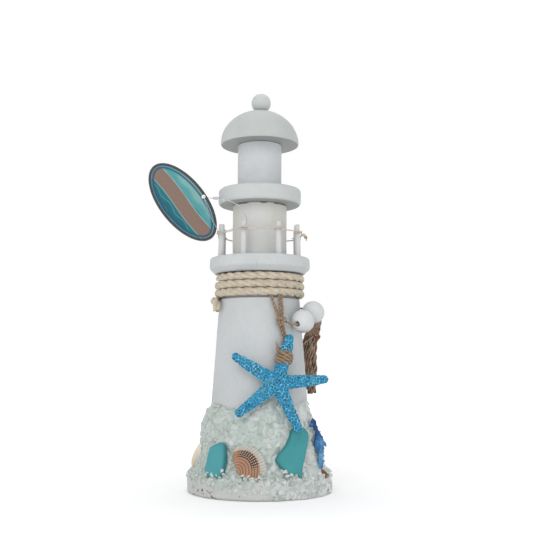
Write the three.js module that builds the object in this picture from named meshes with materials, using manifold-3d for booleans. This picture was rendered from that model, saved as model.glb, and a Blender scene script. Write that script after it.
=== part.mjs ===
// A hand-painted wooden lighthouse ornament: turned wooden tower, rope wrap, a bank of crushed
// glass with shells and sea glass at its foot, a resin starfish on a jute hanger, two wooden
// beads, a jute tassel and an oval card tag on a nylon loop.
// Units are millimetres, +Z is up, the front faces -Y, and the origin is the centre of the
// underside of the plinth. A "facing" angle is measured in degrees from the front (-Y) towards
// +X, so 0 is the front, 90 the right-hand side and 180 the back.

import * as THREE from 'three';
import { mergeVertices } from 'three/addons/utils/BufferGeometryUtils.js';
import Module from 'manifold-3d';

const wasm = await Module();
wasm.setup();

// ---------------------------------------------------------------- driving dimensions
const GAP = 0.3;                 // clearance between touching pieces
const GLUE = 0.2;                // glue line between stacked wooden parts
const AROUND = 36;               // segments around every large turned part

const PLINTH_RADIUS = 47;
const PLINTH_TOP = 12;
const TOWER_BASE_RADIUS = 35.27;
const TOWER_TAPER = 0.075;       // radius lost per millimetre of height
const TOWER_TOP = 142;
const SEAT_BOTTOM = 125.3;       // shoulder that the rope sits on
const SEAT_RADIUS = 24.6;
const DECK_RADIUS = 33.9;
const DECK_TOP = 153.2;
const LOWER_LANTERN_RADIUS = 18.2;
const LOWER_LANTERN_TOP = 189;
const COLLAR_RADIUS = 28;
const COLLAR_TOP = 200.3;
const UPPER_LANTERN_RADIUS = 14.9;
const UPPER_LANTERN_TOP = 231;
const DOME_RADIUS = 26.7;
const DOME_HEIGHT = 25;
const FINIAL_RADIUS = 6.67;
const FINIAL_OFFSET = 1;
const TOTAL_HEIGHT = 268;

const DOWEL_RADIUS = 4;
const NECK_DOWEL_RADIUS = 5;
const FINIAL_DOWEL_RADIUS = 1.5;
const DOWEL_DEPTH = 8;           // how far a dowel enters each part

const POST_RADIUS = 2;
const POST_CIRCLE = 27.5;
const POST_TOP = 175.2;
const POST_SINK = 4.7;           // depth of the post holes in the deck
const POST_FACINGS = [26.5, 67.5, 112.5, 157.5, 202.5, 247.5, 292.5, 338];
const TWINE_DIAMETER = 1;
const TWINE_HEIGHT = 170;
const TWINE_REAR_DROP = 2;       // the twine runs lower at the back

const ROPE_DIAMETER = 4.9;
const ROPE_PITCH = 5.1;
const ROPE_TURNS = 3;
const ROPE_START_FACING = -75;
const ROPE_CENTRE_RADIUS = 27.7;
const ROPE_TAIL_RADIUS = 30.3;

const BEAD_RADIUS = 7.5;
const BEAD_HOLE_RADIUS = 1.8;
const STRING_DIAMETER = 1.5;
const JUTE_DIAMETER = 1.8;

const STAR_THICKNESS = 5.4;
const STAR_BEVEL = 1.3;
const STAR_ARM_ANGLES = [4, 74, 147.5, 220, 294];
const STAR_ARM_LENGTHS = [34, 34, 33.5, 34, 34.5];
const STAR_ROOT_RADIUS = 9;
const STAR_ROOT_HALF_WIDTH = 4.9;
const STAR_TIP_HALF_WIDTH = 2.9;

const TAG_LENGTH = 62.6;
const TAG_WIDTH = 31;
const TAG_THICKNESS = 0.9;
const TAG_TILT = -51.6;          // the long axis runs down to the right
const TAG_CENTRE = [-51.2, -14.6, 189.4];
const TAG_HOLE_RADIUS = 1.4;
const TAG_HOLE_OFFSET = [5.9, 13.1];   // along and across the card, from its centre
const NYLON_DIAMETER = 0.8;

// ---------------------------------------------------------------- finishes
function finish(color, roughness, extra = {}) {
  return new THREE.MeshStandardMaterial({ color, roughness, metalness: 0, ...extra });
}

const WHITE_PAINT = finish(0xe4e6e4, 0.6);
const BARE_WOOD = finish(0xcaa878, 0.8);
const ROPE = finish(0xcdbea5, 0.95);
const TWINE = finish(0xddd3c2, 0.95);
const JUTE = finish(0xa58c6e, 0.95);
const DARK_JUTE = finish(0x785f4b, 0.95);
const CRUSHED_GLASS = finish(0xc5cfc8, 0.5);
const SEA_GLASS = finish(0x4ba5aa, 0.55);
const BROWN_SHELL = finish(0xb07a56, 0.5);
const CREAM_SHELL = finish(0xe8e0cc, 0.55);
const BLUE_RESIN = finish(0x1f7fc4, 0.55);
const GREY_BLUE_RESIN = finish(0x3f74ad, 0.6);
const BARK = finish(0x7a5a44, 0.9);
const PRINTED_CARD = finish(0x2f8a93, 0.4);
const NYLON = finish(0xe8e8e6, 0.35);

// ---------------------------------------------------------------- helpers
const model = new THREE.Group();
model.name = 'lighthouse_ornament';
const DEG = Math.PI / 180;

function facing(angle, radius, height) {
  const a = angle * DEG;
  return new THREE.Vector3(radius * Math.sin(a), -radius * Math.cos(a), height);
}

// A frame on an upright surface: x runs to the right as seen from outside, y up, z outwards.
// lean turns the top of the frame in towards the tower; roll turns it in its own plane.
function surfaceFrame(angle, centre, lean = 0, roll = 0) {
  const out = facing(angle, 1, 0);
  const right = new THREE.Vector3(Math.cos(angle * DEG), Math.sin(angle * DEG), 0);
  const up = new THREE.Vector3(0, 0, 1);
  const normal = out.clone().multiplyScalar(Math.cos(lean * DEG)).addScaledVector(up, Math.sin(lean * DEG));
  const rise = up.multiplyScalar(Math.cos(lean * DEG)).addScaledVector(out, -Math.sin(lean * DEG));
  const frame = new THREE.Matrix4().makeBasis(right, rise, normal);
  frame.multiply(new THREE.Matrix4().makeRotationZ(roll * DEG));
  return frame.setPosition(centre);
}

function towerRadius(height) {
  return TOWER_BASE_RADIUS - TOWER_TAPER * (height - PLINTH_TOP);
}

function signedVolume(geometry) {
  const p = geometry.attributes.position;
  const index = geometry.index;
  const a = new THREE.Vector3();
  const b = new THREE.Vector3();
  const c = new THREE.Vector3();
  let sum = 0;
  for (let i = 0; i < index.count; i += 3) {
    a.fromBufferAttribute(p, index.getX(i));
    b.fromBufferAttribute(p, index.getX(i + 1));
    c.fromBufferAttribute(p, index.getX(i + 2));
    sum += a.dot(b.cross(c));
  }
  return sum;
}

// Merges shared vertices, drops collapsed triangles and turns every face outwards.
function closedBody(geometry) {
  geometry.deleteAttribute('normal');
  geometry.deleteAttribute('uv');
  const merged = mergeVertices(geometry, 1e-4);
  const old = Array.from(merged.index.array);
  const kept = [];
  for (let i = 0; i < old.length; i += 3) {
    const [a, b, c] = old.slice(i, i + 3);
    if (a !== b && b !== c && c !== a) kept.push(a, b, c);
  }
  merged.setIndex(kept);
  if (signedVolume(merged) < 0) {
    merged.setIndex(kept.reverse());
  }
  return merged;
}

function add(name, geometry, material) {
  const shown = geometry.clone();
  shown.computeVertexNormals();
  const mesh = new THREE.Mesh(shown, material);
  mesh.name = name;
  model.add(mesh);
  return mesh;
}

function toManifold(geometry) {
  const mesh = new wasm.Mesh({
    numProp: 3,
    vertProperties: new Float32Array(geometry.attributes.position.array),
    triVerts: new Uint32Array(geometry.index.array),
  });
  return new wasm.Manifold(mesh);
}

function fromManifold(solid) {
  const mesh = solid.getMesh();
  const geometry = new THREE.BufferGeometry();
  geometry.setAttribute('position', new THREE.BufferAttribute(mesh.vertProperties, 3));
  geometry.setIndex(new THREE.BufferAttribute(mesh.triVerts, 1));
  return geometry;
}

function subtract(geometry, tools) {
  let solid = toManifold(geometry);
  for (const tool of tools) {
    solid = solid.subtract(toManifold(tool));
  }
  return fromManifold(solid);
}

// Turns a profile of [radius, height] points about the Z axis.
function turned(profile, segments = AROUND) {
  const points = profile.map(([r, z]) => new THREE.Vector2(r, z));
  return closedBody(new THREE.LatheGeometry(points, segments).rotateX(Math.PI / 2));
}

// A turned body with a flat top and bottom and a blind dowel hole in either end.
function turnedWithSockets(outline, bottomHole, topHole) {
  const bottom = outline[0][1];
  const top = outline.at(-1)[1];
  const start = bottomHole
    ? [[0, bottom + bottomHole.depth], [bottomHole.radius, bottom + bottomHole.depth],
       [bottomHole.radius, bottom]]
    : [[0, bottom]];
  const end = topHole
    ? [[topHole.radius, top], [topHole.radius, top - topHole.depth], [0, top - topHole.depth]]
    : [[0, top]];
  return turned([...start, ...outline, ...end]);
}

function socket(radius, depth = DOWEL_DEPTH + GAP) {
  return { radius: radius + GAP, depth };
}

function dowel(name, radius, bottom, top) {
  add(name, turned([[0, bottom], [radius, bottom], [radius, top], [0, top]], 16), BARE_WOOD);
}

// A tube of round section along a smooth curve through the given points.
function tube(points, diameter, steps, sides = 8) {
  const path = new THREE.CatmullRomCurve3(points.map((p) => new THREE.Vector3(...p)));
  const section = new THREE.Shape();
  for (let i = 0; i < sides; i += 1) {
    const a = (2 * Math.PI * i) / sides;
    const x = (diameter / 2) * Math.cos(a);
    const y = (diameter / 2) * Math.sin(a);
    if (i === 0) section.moveTo(x, y);
    else section.lineTo(x, y);
  }
  section.closePath();
  return closedBody(new THREE.ExtrudeGeometry(section, { steps, extrudePath: path }));
}

function shapeOf(points) {
  return new THREE.Shape(points.map(([x, y]) => new THREE.Vector2(x, y)));
}

// A plate of the given outline, centred on its own plane, with chamfered edges.
function plate(outline, thickness, bevel = 0) {
  const depth = thickness - 2 * bevel;
  const options = {
    depth,
    bevelEnabled: bevel > 0,
    bevelThickness: bevel,
    bevelSize: bevel,
    bevelOffset: -bevel,
    bevelSegments: 1,
    curveSegments: 12,
  };
  return closedBody(new THREE.ExtrudeGeometry(outline, options).translate(0, 0, -depth / 2));
}

// The same body grown by a margin about its own centre, used to cut room for it.
function grown(geometry, margin) {
  geometry.computeBoundingBox();
  const size = geometry.boundingBox.getSize(new THREE.Vector3());
  const centre = geometry.boundingBox.getCenter(new THREE.Vector3());
  const copy = geometry.clone().translate(-centre.x, -centre.y, -centre.z);
  copy.scale(1 + 2 * margin / size.x, 1 + 2 * margin / size.y, 1 + 2 * margin / size.z);
  return copy.translate(centre.x, centre.y, centre.z);
}

// ---------------------------------------------------------------- turned wooden parts
function addPlinth() {
  const chamfer = 1.2;
  const outline = [
    [PLINTH_RADIUS - chamfer, 0],
    [PLINTH_RADIUS, chamfer],
    [PLINTH_RADIUS, PLINTH_TOP - chamfer],
    [PLINTH_RADIUS - chamfer, PLINTH_TOP],
  ];
  add('plinth', turnedWithSockets(outline, null, socket(DOWEL_RADIUS)), WHITE_PAINT);
}

function addTower() {
  const bottom = PLINTH_TOP + GLUE;
  const outline = [
    [towerRadius(bottom), bottom],
    [towerRadius(SEAT_BOTTOM), SEAT_BOTTOM],
    [SEAT_RADIUS, SEAT_BOTTOM],
    [SEAT_RADIUS, TOWER_TOP],
  ];
  const body = turnedWithSockets(outline, socket(DOWEL_RADIUS), socket(NECK_DOWEL_RADIUS, 14));
  add('tower', body, WHITE_PAINT);
}

function addGalleryDeck() {
  const bottom = TOWER_TOP + GLUE;
  const chamferTop = bottom + 3.8;
  const edge = 0.8;
  const hole = NECK_DOWEL_RADIUS + GAP;
  const body = turned([
    [hole, bottom], [30, bottom], [DECK_RADIUS, chamferTop], [DECK_RADIUS - 0.4, DECK_TOP - edge],
    [DECK_RADIUS - 0.4 - edge, DECK_TOP], [hole, DECK_TOP], [hole, bottom],
  ]);
  const depth = POST_SINK + GAP;
  const holes = POST_FACINGS.map((angle) => {
    const at = facing(angle, POST_CIRCLE, 0);
    const drill = turned([
      [0, DECK_TOP - depth], [POST_RADIUS + GAP, DECK_TOP - depth],
      [POST_RADIUS + GAP, DECK_TOP + 1], [0, DECK_TOP + 1],
    ], 12);
    return drill.translate(at.x, at.y, 0);
  });
  add('gallery_deck', subtract(body, holes), WHITE_PAINT);
}

function addLanterns() {
  const lower = [[LOWER_LANTERN_RADIUS, DECK_TOP + GLUE], [LOWER_LANTERN_RADIUS, LOWER_LANTERN_TOP]];
  const lowerSocket = socket(NECK_DOWEL_RADIUS, 12);
  add('lower_lantern', turnedWithSockets(lower, lowerSocket, socket(DOWEL_RADIUS)), WHITE_PAINT);

  const bottom = LOWER_LANTERN_TOP + GLUE;
  const edge = 1.5;
  const hole = DOWEL_RADIUS + GAP;
  const collar = turned([
    [hole, bottom], [COLLAR_RADIUS - edge, bottom], [COLLAR_RADIUS, bottom + edge],
    [COLLAR_RADIUS, COLLAR_TOP - edge], [COLLAR_RADIUS - edge, COLLAR_TOP],
    [hole, COLLAR_TOP], [hole, bottom],
  ]);
  add('collar', collar, WHITE_PAINT);

  const upper = [
    [UPPER_LANTERN_RADIUS, COLLAR_TOP + GLUE],
    [UPPER_LANTERN_RADIUS, UPPER_LANTERN_TOP],
  ];
  const upperSocket = socket(DOWEL_RADIUS);
  add('upper_lantern', turnedWithSockets(upper, upperSocket, upperSocket), WHITE_PAINT);
}

// The dome, and the ball on top of it, which is glued a little to one side of its dowel.
function addDomeAndFinial() {
  const rim = UPPER_LANTERN_TOP + GLUE;
  const seat = TOTAL_HEIGHT - 2 * FINIAL_RADIUS + 1;
  const outline = [[DOME_RADIUS - 0.7, rim], [DOME_RADIUS, rim + 0.7]];
  const arcSteps = 7;
  for (let i = 1; i < arcSteps; i += 1) {
    const a = (i / arcSteps) * 90 * DEG;
    outline.push([DOME_RADIUS * Math.cos(a), rim + 0.7 + (DOME_HEIGHT - 0.7) * Math.sin(a)]);
  }
  outline.push([3.6, seat - GLUE]);
  const domeSockets = [socket(DOWEL_RADIUS), socket(FINIAL_DOWEL_RADIUS, 5)];
  add('dome_roof', turnedWithSockets(outline, ...domeSockets), WHITE_PAINT);

  const centre = TOTAL_HEIGHT - FINIAL_RADIUS;
  const ball = [];
  for (let i = 1; i <= 9; i += 1) {
    const a = (-90 + i * 18) * DEG;
    ball.push([FINIAL_RADIUS * Math.cos(a), centre + FINIAL_RADIUS * Math.sin(a)]);
  }
  const hole = FINIAL_DOWEL_RADIUS + GAP;
  const flat = Math.sqrt(FINIAL_RADIUS ** 2 - (centre - seat) ** 2);
  const profile = [[0, seat], [flat, seat], ...ball.filter(([, z]) => z > seat + 0.5), [0, TOTAL_HEIGHT]];
  const bored = turned([[0, seat - 1], [hole, seat - 1], [hole, seat + 5], [0, seat + 5]], 16);
  const finial = turned(profile, 24).translate(FINIAL_OFFSET, 0, 0);
  add('finial', subtract(finial, [bored]), WHITE_PAINT);

  dowel('finial_dowel', FINIAL_DOWEL_RADIUS, seat - GLUE - 5 + GAP, seat + 5 - GAP);
}

function addDowels() {
  const half = DOWEL_DEPTH;
  dowel('base_dowel', DOWEL_RADIUS, PLINTH_TOP - half, PLINTH_TOP + half);
  dowel('neck_dowel', NECK_DOWEL_RADIUS, TOWER_TOP - 13.7, DECK_TOP + 11.7);
  dowel('lantern_dowel', DOWEL_RADIUS, LOWER_LANTERN_TOP - half, COLLAR_TOP + half);
  dowel('dome_dowel', DOWEL_RADIUS, UPPER_LANTERN_TOP - half, UPPER_LANTERN_TOP + half);
}

// ---------------------------------------------------------------- gallery rail
function addRail() {
  const bottom = DECK_TOP - POST_SINK;
  POST_FACINGS.forEach((angle, i) => {
    const at = facing(angle, POST_CIRCLE, 0);
    const post = turned([
      [0, bottom], [POST_RADIUS, bottom], [POST_RADIUS, POST_TOP - 0.4],
      [POST_RADIUS - 0.4, POST_TOP], [0, POST_TOP],
    ], 12);
    add(`rail_post_${i + 1}`, post.translate(at.x, at.y, 0), WHITE_PAINT);
  });

  // The twine passes outside every post and is knotted to itself beside the right-hand post.
  const reach = POST_CIRCLE + POST_RADIUS + GAP + TWINE_DIAMETER / 2;
  const spread = 5;
  const points = [];
  const knotFacing = POST_FACINGS[1] + 12;
  const stops = [...POST_FACINGS.slice(2), ...POST_FACINGS.slice(0, 2).map((a) => a + 360)];
  points.push(twinePoint(knotFacing, reach - 1.4));
  for (const stop of stops) {
    points.push(twinePoint(stop - spread, reach));
    points.push(twinePoint(stop, reach));
    points.push(twinePoint(stop + spread, reach));
  }
  points.push(twinePoint(knotFacing + 360 - 3, reach - 1));
  add('rail_twine', tube(points, TWINE_DIAMETER, 60), TWINE);

  const knot = new THREE.SphereGeometry(1.3, 8, 6);
  const at = facing(POST_FACINGS[1] + 10.3, reach + 1.4, TWINE_HEIGHT - 3);
  knot.scale(0.8, 0.8, 1.5).translate(at.x, at.y, at.z);
  add('rail_twine_knot', closedBody(knot), TWINE);
}

function twinePoint(angle, radius) {
  const rear = (1 - Math.cos(angle * DEG)) / 2;
  const at = facing(angle, radius, TWINE_HEIGHT - TWINE_REAR_DROP * rear);
  return [at.x, at.y, at.z];
}

// ---------------------------------------------------------------- rope wrap
function smooth(t) {
  const c = Math.min(1, Math.max(0, t));
  return c * c * (3 - 2 * c);
}

// Each turn runs almost level round the front and steps down a row at the back left, and the
// last one climbs over the shoulder of the seat and hangs down as a short tail.
function ropeRoute() {
  const top = TOWER_TOP + GLUE - GAP - ROPE_DIAMETER / 2;
  const points = [];
  const perTurn = 12;
  for (let i = 0; i <= ROPE_TURNS * perTurn; i += 1) {
    const turns = i / perTurn;
    const within = turns % 1;
    const row = Math.floor(turns) + 0.2 * within + 0.8 * smooth((within - 0.72) / 0.28);
    const outward = smooth((turns - (ROPE_TURNS - 0.45)) / 0.18);
    const radius = THREE.MathUtils.lerp(ROPE_CENTRE_RADIUS, ROPE_TAIL_RADIUS, outward);
    const at = facing(ROPE_START_FACING + 360 * turns, radius, top - ROPE_PITCH * row);
    points.push([at.x, at.y, at.z]);
  }
  const end = top - ROPE_PITCH * ROPE_TURNS;
  for (const [turn, drop] of [[5, 1.6], [8, 4.2], [9, 7.2]]) {
    const at = facing(ROPE_START_FACING + turn, ROPE_TAIL_RADIUS + 0.2, end - drop);
    points.push([at.x, at.y, at.z]);
  }
  return points;
}

// ---------------------------------------------------------------- bank of crushed glass
const BANK_PROFILE = [
  [12.3, 45.4], [14.1, 44.6], [19.3, 41.6], [27, 39.4], [36.5, 38.3], [44.2, 37.4],
  [50.4, 35.2], [56, 33.4], [66, 32.6],
];
const BANK_ROWS = 8;
const BANK_TOP_MEAN = 54.9;
const BANK_TOP_RISE = 2.6;
const BANK_CREST_FACING = 25;
const BANK_TOP_WAVE = 1.6;
const BANK_WAVE_PHASE = 75;

function bankRadius(height) {
  for (let i = 1; i < BANK_PROFILE.length; i += 1) {
    const [z0, r0] = BANK_PROFILE[i - 1];
    const [z1, r1] = BANK_PROFILE[i];
    if (height <= z1) return THREE.MathUtils.mapLinear(height, z0, z1, r0, r1);
  }
  return BANK_PROFILE.at(-1)[1];
}

// The bank stands highest near BANK_CREST_FACING, and its edge wavers five times around the tower.
function bankTop(angle) {
  const rise = BANK_TOP_RISE * Math.cos((angle - BANK_CREST_FACING) * DEG);
  return BANK_TOP_MEAN + rise + BANK_TOP_WAVE * Math.sin((5 * angle + BANK_WAVE_PHASE) * DEG);
}

function bankGeometry() {
  const positions = [];
  const bottom = BANK_PROFILE[0][0];
  const columns = AROUND;
  for (let i = 0; i < columns; i += 1) {
    const angle = 90 - (360 * i) / columns;
    const top = bankTop(angle);
    for (let row = 0; row <= BANK_ROWS; row += 1) {
      const z = bottom + ((top - bottom) * row) / BANK_ROWS;
      const lump = 0.5 * Math.sin(3.1 * row + 7 * angle * DEG) * (row > 0 && row < BANK_ROWS ? 1 : 0);
      const crest = row === BANK_ROWS ? towerRadius(z) + GAP + 1 : bankRadius(z) + lump;
      positions.push(...facing(angle, crest, z).toArray());
    }
    positions.push(...facing(angle, towerRadius(top) + GAP, top).toArray());
    positions.push(...facing(angle, towerRadius(bottom) + GAP, bottom).toArray());
  }
  const ring = BANK_ROWS + 3;
  const index = [];
  for (let i = 0; i < columns; i += 1) {
    const here = i * ring;
    const next = ((i + 1) % columns) * ring;
    for (let k = 0; k < ring; k += 1) {
      const up = (k + 1) % ring;
      index.push(here + k, here + up, next + up, here + k, next + up, next + k);
    }
  }
  const geometry = new THREE.BufferGeometry();
  geometry.setAttribute('position', new THREE.Float32BufferAttribute(positions, 3));
  geometry.setIndex(index);
  return closedBody(geometry);
}

// The crust of glass that spills over the front and right-hand edge of the plinth.
function rimCrust() {
  const inner = PLINTH_RADIUS + GAP;
  const outer = PLINTH_RADIUS + 1.6;
  const from = (-22 - 90) * DEG;
  const to = (104 - 90) * DEG;
  const band = new THREE.Shape();
  band.absarc(0, 0, outer, from, to, false);
  band.absarc(0, 0, inner, to, from, true);
  const options = { depth: PLINTH_TOP - 0.6, bevelEnabled: false, curveSegments: 16 };
  return closedBody(new THREE.ExtrudeGeometry(band, options).translate(0, 0, 0.6));
}

// ---------------------------------------------------------------- shells, sea glass, seahorse
// A piece set on the bank, with the slightly larger room that the bank leaves for it.
function setInBank(local, frame) {
  return { body: local.clone().applyMatrix4(frame), room: grown(local, GAP).applyMatrix4(frame) };
}

function seaGlass(outline, centre, angle, lean, thickness) {
  return setInBank(plate(shapeOf(outline), thickness, 0.8), surfaceFrame(angle, centre, lean));
}

function shellDome(width, height, rise, centre, angle, lean, roll) {
  const profile = [[0, 0], [1, 0]];
  for (const a of [20, 42, 66]) {
    profile.push([Math.cos(a * DEG), Math.sin(a * DEG)]);
  }
  profile.push([0, 1]);
  const dome = turned(profile, 20).scale(width / 2, height / 2, rise);
  return setInBank(dome, surfaceFrame(angle, centre, lean, roll));
}

function seahorseGeometry() {
  const outline = [
    [-2, 18], [1.5, 18.6], [4, 16.5], [4.6, 13], [5.2, 8], [7.4, 3], [6.2, -1], [5, -5],
    [3.8, -9.5], [3.4, -13.5], [1.4, -17.4], [-2.4, -18], [-4.6, -15.4], [-4, -12.2],
    [-1.2, -12.6], [-0.6, -9], [-1.8, -4], [-3.4, 0.5], [-3.6, 4.5], [-1.4, 8.4], [-1, 11.2],
    [-6.6, 11.8], [-6.8, 14.2], [-3.2, 15.4],
  ];
  const frame = surfaceFrame(69, facing(69, 42.3, 30.6), 10, 0);
  return setInBank(plate(shapeOf(outline), 5, 0.9), frame);
}

function addFootDecorations() {
  const leftGlass = seaGlass(
    [[-6.6, -8], [-1, -11.5], [5.4, -10.6], [7, -6], [7.1, 6.6], [4.2, 10.6], [-4.6, 7.4]],
    facing(-37.8, 42.4, 24.2), -37.8, 9, 5,
  );
  const rightGlass = seaGlass(
    [[-10.8, -4.6], [-4.2, -13], [6.2, -16.2], [7.6, -12], [10.6, 9.4], [9.2, 14],
     [3.4, 16], [1.2, 12.4], [-4, 7.4], [-8.4, 3.2]],
    facing(29.8, 41.2, 28.6), 29.8, 13, 5,
  );
  const brownShell = shellDome(19, 21, 6, facing(-7.5, 41.9, 22.6), -7.5, 14, 0);
  const creamShell = shellDome(17, 20.5, 4.6, facing(-84, 39.5, 22.8), -84, 14, 0);
  const seahorse = seahorseGeometry();
  const twigPoints = [[38.6, -18.5, 15.6], [40.4, -19.6, 14.8], [42.2, -20.8, 14.2], [43.6, -21.8, 14.1]];
  const twigHole = [[37.3, -17.7, 16], ...twigPoints];
  const twig = { body: tube(twigPoints, 3.4, 6), room: tube(twigHole, 3.4 + 2 * GAP, 7) };

  add('sea_glass_left', leftGlass.body, SEA_GLASS);
  add('sea_glass_right', rightGlass.body, SEA_GLASS);
  add('brown_shell', brownShell.body, BROWN_SHELL);
  add('cream_shell', creamShell.body, CREAM_SHELL);
  add('seahorse', subtract(seahorse.body, [twig.room]), GREY_BLUE_RESIN);
  add('driftwood_twig', twig.body, BARK);

  const pieces = [leftGlass, rightGlass, brownShell, creamShell, seahorse, twig];
  add('gravel_bank', subtract(bankGeometry(), pieces.map((piece) => piece.room)), CRUSHED_GLASS);
  add('gravel_rim', rimCrust(), CRUSHED_GLASS);
}

// ---------------------------------------------------------------- jute hanger and starfish
const STAR_FRAME = surfaceFrame(10, new THREE.Vector3(11, -35.2, 70.6), 9);

function starfishGeometry() {
  const points = [];
  STAR_ARM_ANGLES.forEach((angle, i) => {
    const next = STAR_ARM_ANGLES[(i + 1) % STAR_ARM_ANGLES.length] + (i === 4 ? 360 : 0);
    const along = new THREE.Vector2(Math.cos(angle * DEG), Math.sin(angle * DEG));
    const across = new THREE.Vector2(-along.y, along.x);
    const length = STAR_ARM_LENGTHS[i];
    const tip = STAR_TIP_HALF_WIDTH;
    const steps = [
      [STAR_ROOT_RADIUS + 2.5, -STAR_ROOT_HALF_WIDTH + 0.3], [length - tip, -tip],
      [length - 0.9, -tip * 0.7], [length, 0], [length - 0.9, tip * 0.7],
      [length - tip, tip], [STAR_ROOT_RADIUS + 2.5, STAR_ROOT_HALF_WIDTH - 0.3],
    ];
    for (const [a, b] of steps) {
      points.push([along.x * a + across.x * b, along.y * a + across.y * b]);
    }
    const middle = ((angle + next) / 2) * DEG;
    points.push([STAR_ROOT_RADIUS * Math.cos(middle), STAR_ROOT_RADIUS * Math.sin(middle)]);
  });
  return plate(shapeOf(points), STAR_THICKNESS, STAR_BEVEL).applyMatrix4(STAR_FRAME);
}

// Four turns of jute round the upper arm, as one oval sleeve.
function lashingGeometry() {
  const start = 12.5;
  const length = 9;
  const sleeve = new THREE.Shape();
  sleeve.absellipse(0, 0, 6.4, 4.9, 0, 2 * Math.PI, false);
  const hole = new THREE.Path();
  hole.absellipse(0, 0, 5.4, 3.7, 0, 2 * Math.PI, true);
  sleeve.holes.push(hole);
  const options = { depth: length, bevelEnabled: false, curveSegments: 10 };
  const body = new THREE.ExtrudeGeometry(sleeve, options);
  body.translate(0, 0, start).rotateX(-Math.PI / 2).rotateZ((STAR_ARM_ANGLES[1] - 90) * DEG);
  return closedBody(body).applyMatrix4(STAR_FRAME);
}

function addHanger() {
  const left = [[8.1, -27.6, 124.6], [9.4, -28, 120], [11, -28.3, 115.6], [12.2, -28.2, 113.3]];
  const right = [[13.4, -25.9, 124.6], [13.7, -26.1, 121], [14, -26.5, 116.6], [14.2, -26.8, 113.3]];
  add('hanger_cord_left', tube(left, JUTE_DIAMETER, 6), JUTE);
  add('hanger_cord_right', tube(right, JUTE_DIAMETER + 0.6, 6), JUTE);

  const knot = new THREE.SphereGeometry(1, 10, 8).scale(3.2, 2.5, 2.9);
  add('hanger_knot', closedBody(knot.translate(13.75, -27.8, 109.9)), JUTE);

  const drop = [
    [14.3, -28, 106.5], [14.8, -27.2, 103.6], [15.3, -26.3, 100.6], [15.6, -25.7, 97.8], [15.7, -25.6, 95.8],
  ];
  add('pendant_cord', tube(drop, JUTE_DIAMETER, 7), JUTE);
  add('starfish_lashing', lashingGeometry(), JUTE);
  add('starfish', starfishGeometry(), BLUE_RESIN);
}

// ---------------------------------------------------------------- bead string and tassel
const FRONT_BEAD = { centre: [27.9, -22.6, 109.8], axis: [0.55, 0.79, 0.28] };
const REAR_BEAD = { centre: [35.3, -10.8, 116.2], axis: [0.4, 0.86, 0.33] };
const STRING_ROUTE = [
  [17.3, -27.9, 109.2], [19.5, -28.3, 108.2], [21.8, -28.8, 107.6], [23.8, -28.5, 107.7],
  [25.8, -25.6, 108.7], [27.9, -22.6, 109.8], [30.1, -19.6, 111], [32.1, -17, 112.8],
  [33.8, -13.9, 114.8], [35.3, -10.8, 116.2], [36.8, -7.6, 117.5], [38.3, -4.3, 118.7],
  [39.2, 1, 119.4], [38.6, 6.2, 119.5], [37, 11, 119.4], [34.3, 15.6, 119.8],
  [30.7, 19.8, 120.6], [26.6, 23.1, 121.6], [22.4, 25.5, 122.7], [18.4, 26.8, 123.8],
  [15, 26.8, 124.6],
];

function beadGeometry({ centre, axis }) {
  const profile = [];
  const start = Math.asin(BEAD_HOLE_RADIUS / BEAD_RADIUS) / DEG;
  const steps = 8;
  for (let i = 0; i <= steps; i += 1) {
    const a = (-90 + start + ((180 - 2 * start) * i) / steps) * DEG;
    profile.push([BEAD_RADIUS * Math.cos(a), BEAD_RADIUS * Math.sin(a)]);
  }
  profile.push(profile[0]);
  const turn = new THREE.Quaternion().setFromUnitVectors(
    new THREE.Vector3(0, 0, 1), new THREE.Vector3(...axis).normalize(),
  );
  return turned(profile, 20).applyQuaternion(turn).translate(...centre);
}

// The tassel's folded strands pass over the string, close at the binding and hang as a skirt.
function addTassel() {
  const place = facing(109.4, 37.1, 0);
  const neck = 99.6;
  const skirt = turned([
    [0, 62], [4.6, 62], [5, 66], [4.9, 80], [4.5, 94], [3.9, 98.2], [3.9, 101.2],
    [4.6, 103.2], [4.2, 104.4], [0, 104.4],
  ], 14);
  add('tassel_skirt', skirt.translate(place.x, place.y, 0), DARK_JUTE);

  const ring = turned([
    [3.9 + GAP, neck - 1.2], [5.3, neck - 1.2], [5.6, neck], [5.3, neck + 1.2],
    [3.9 + GAP, neck + 1.2], [3.9 + GAP, neck - 1.2],
  ], 14);
  add('tassel_binding', ring.translate(place.x, place.y, 0), DARK_JUTE);

  const loop = [
    [35.1, 105.3], [35, 111], [35.3, 118.8], [38.6, 122.7], [41.5, 118.8], [41.1, 111], [39, 105.3],
  ];
  const bundle = 3;
  const hook = new THREE.Vector3(37, 11, 0).normalize();
  const points = loop.map(([r, z]) => {
    const drift = smooth((119 - z) / 14);
    const radial = facing(109.4, r, z);
    return [
      THREE.MathUtils.lerp(hook.x * r, radial.x, drift),
      THREE.MathUtils.lerp(hook.y * r, radial.y, drift), z,
    ];
  });
  add('tassel_loop', tube(points, bundle, 18), DARK_JUTE);
}

function addBeadString() {
  add('garland_string', tube(STRING_ROUTE, STRING_DIAMETER, 40), JUTE);
  add('bead_front', beadGeometry(FRONT_BEAD), WHITE_PAINT);
  add('bead_rear', beadGeometry(REAR_BEAD), WHITE_PAINT);
}

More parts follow.
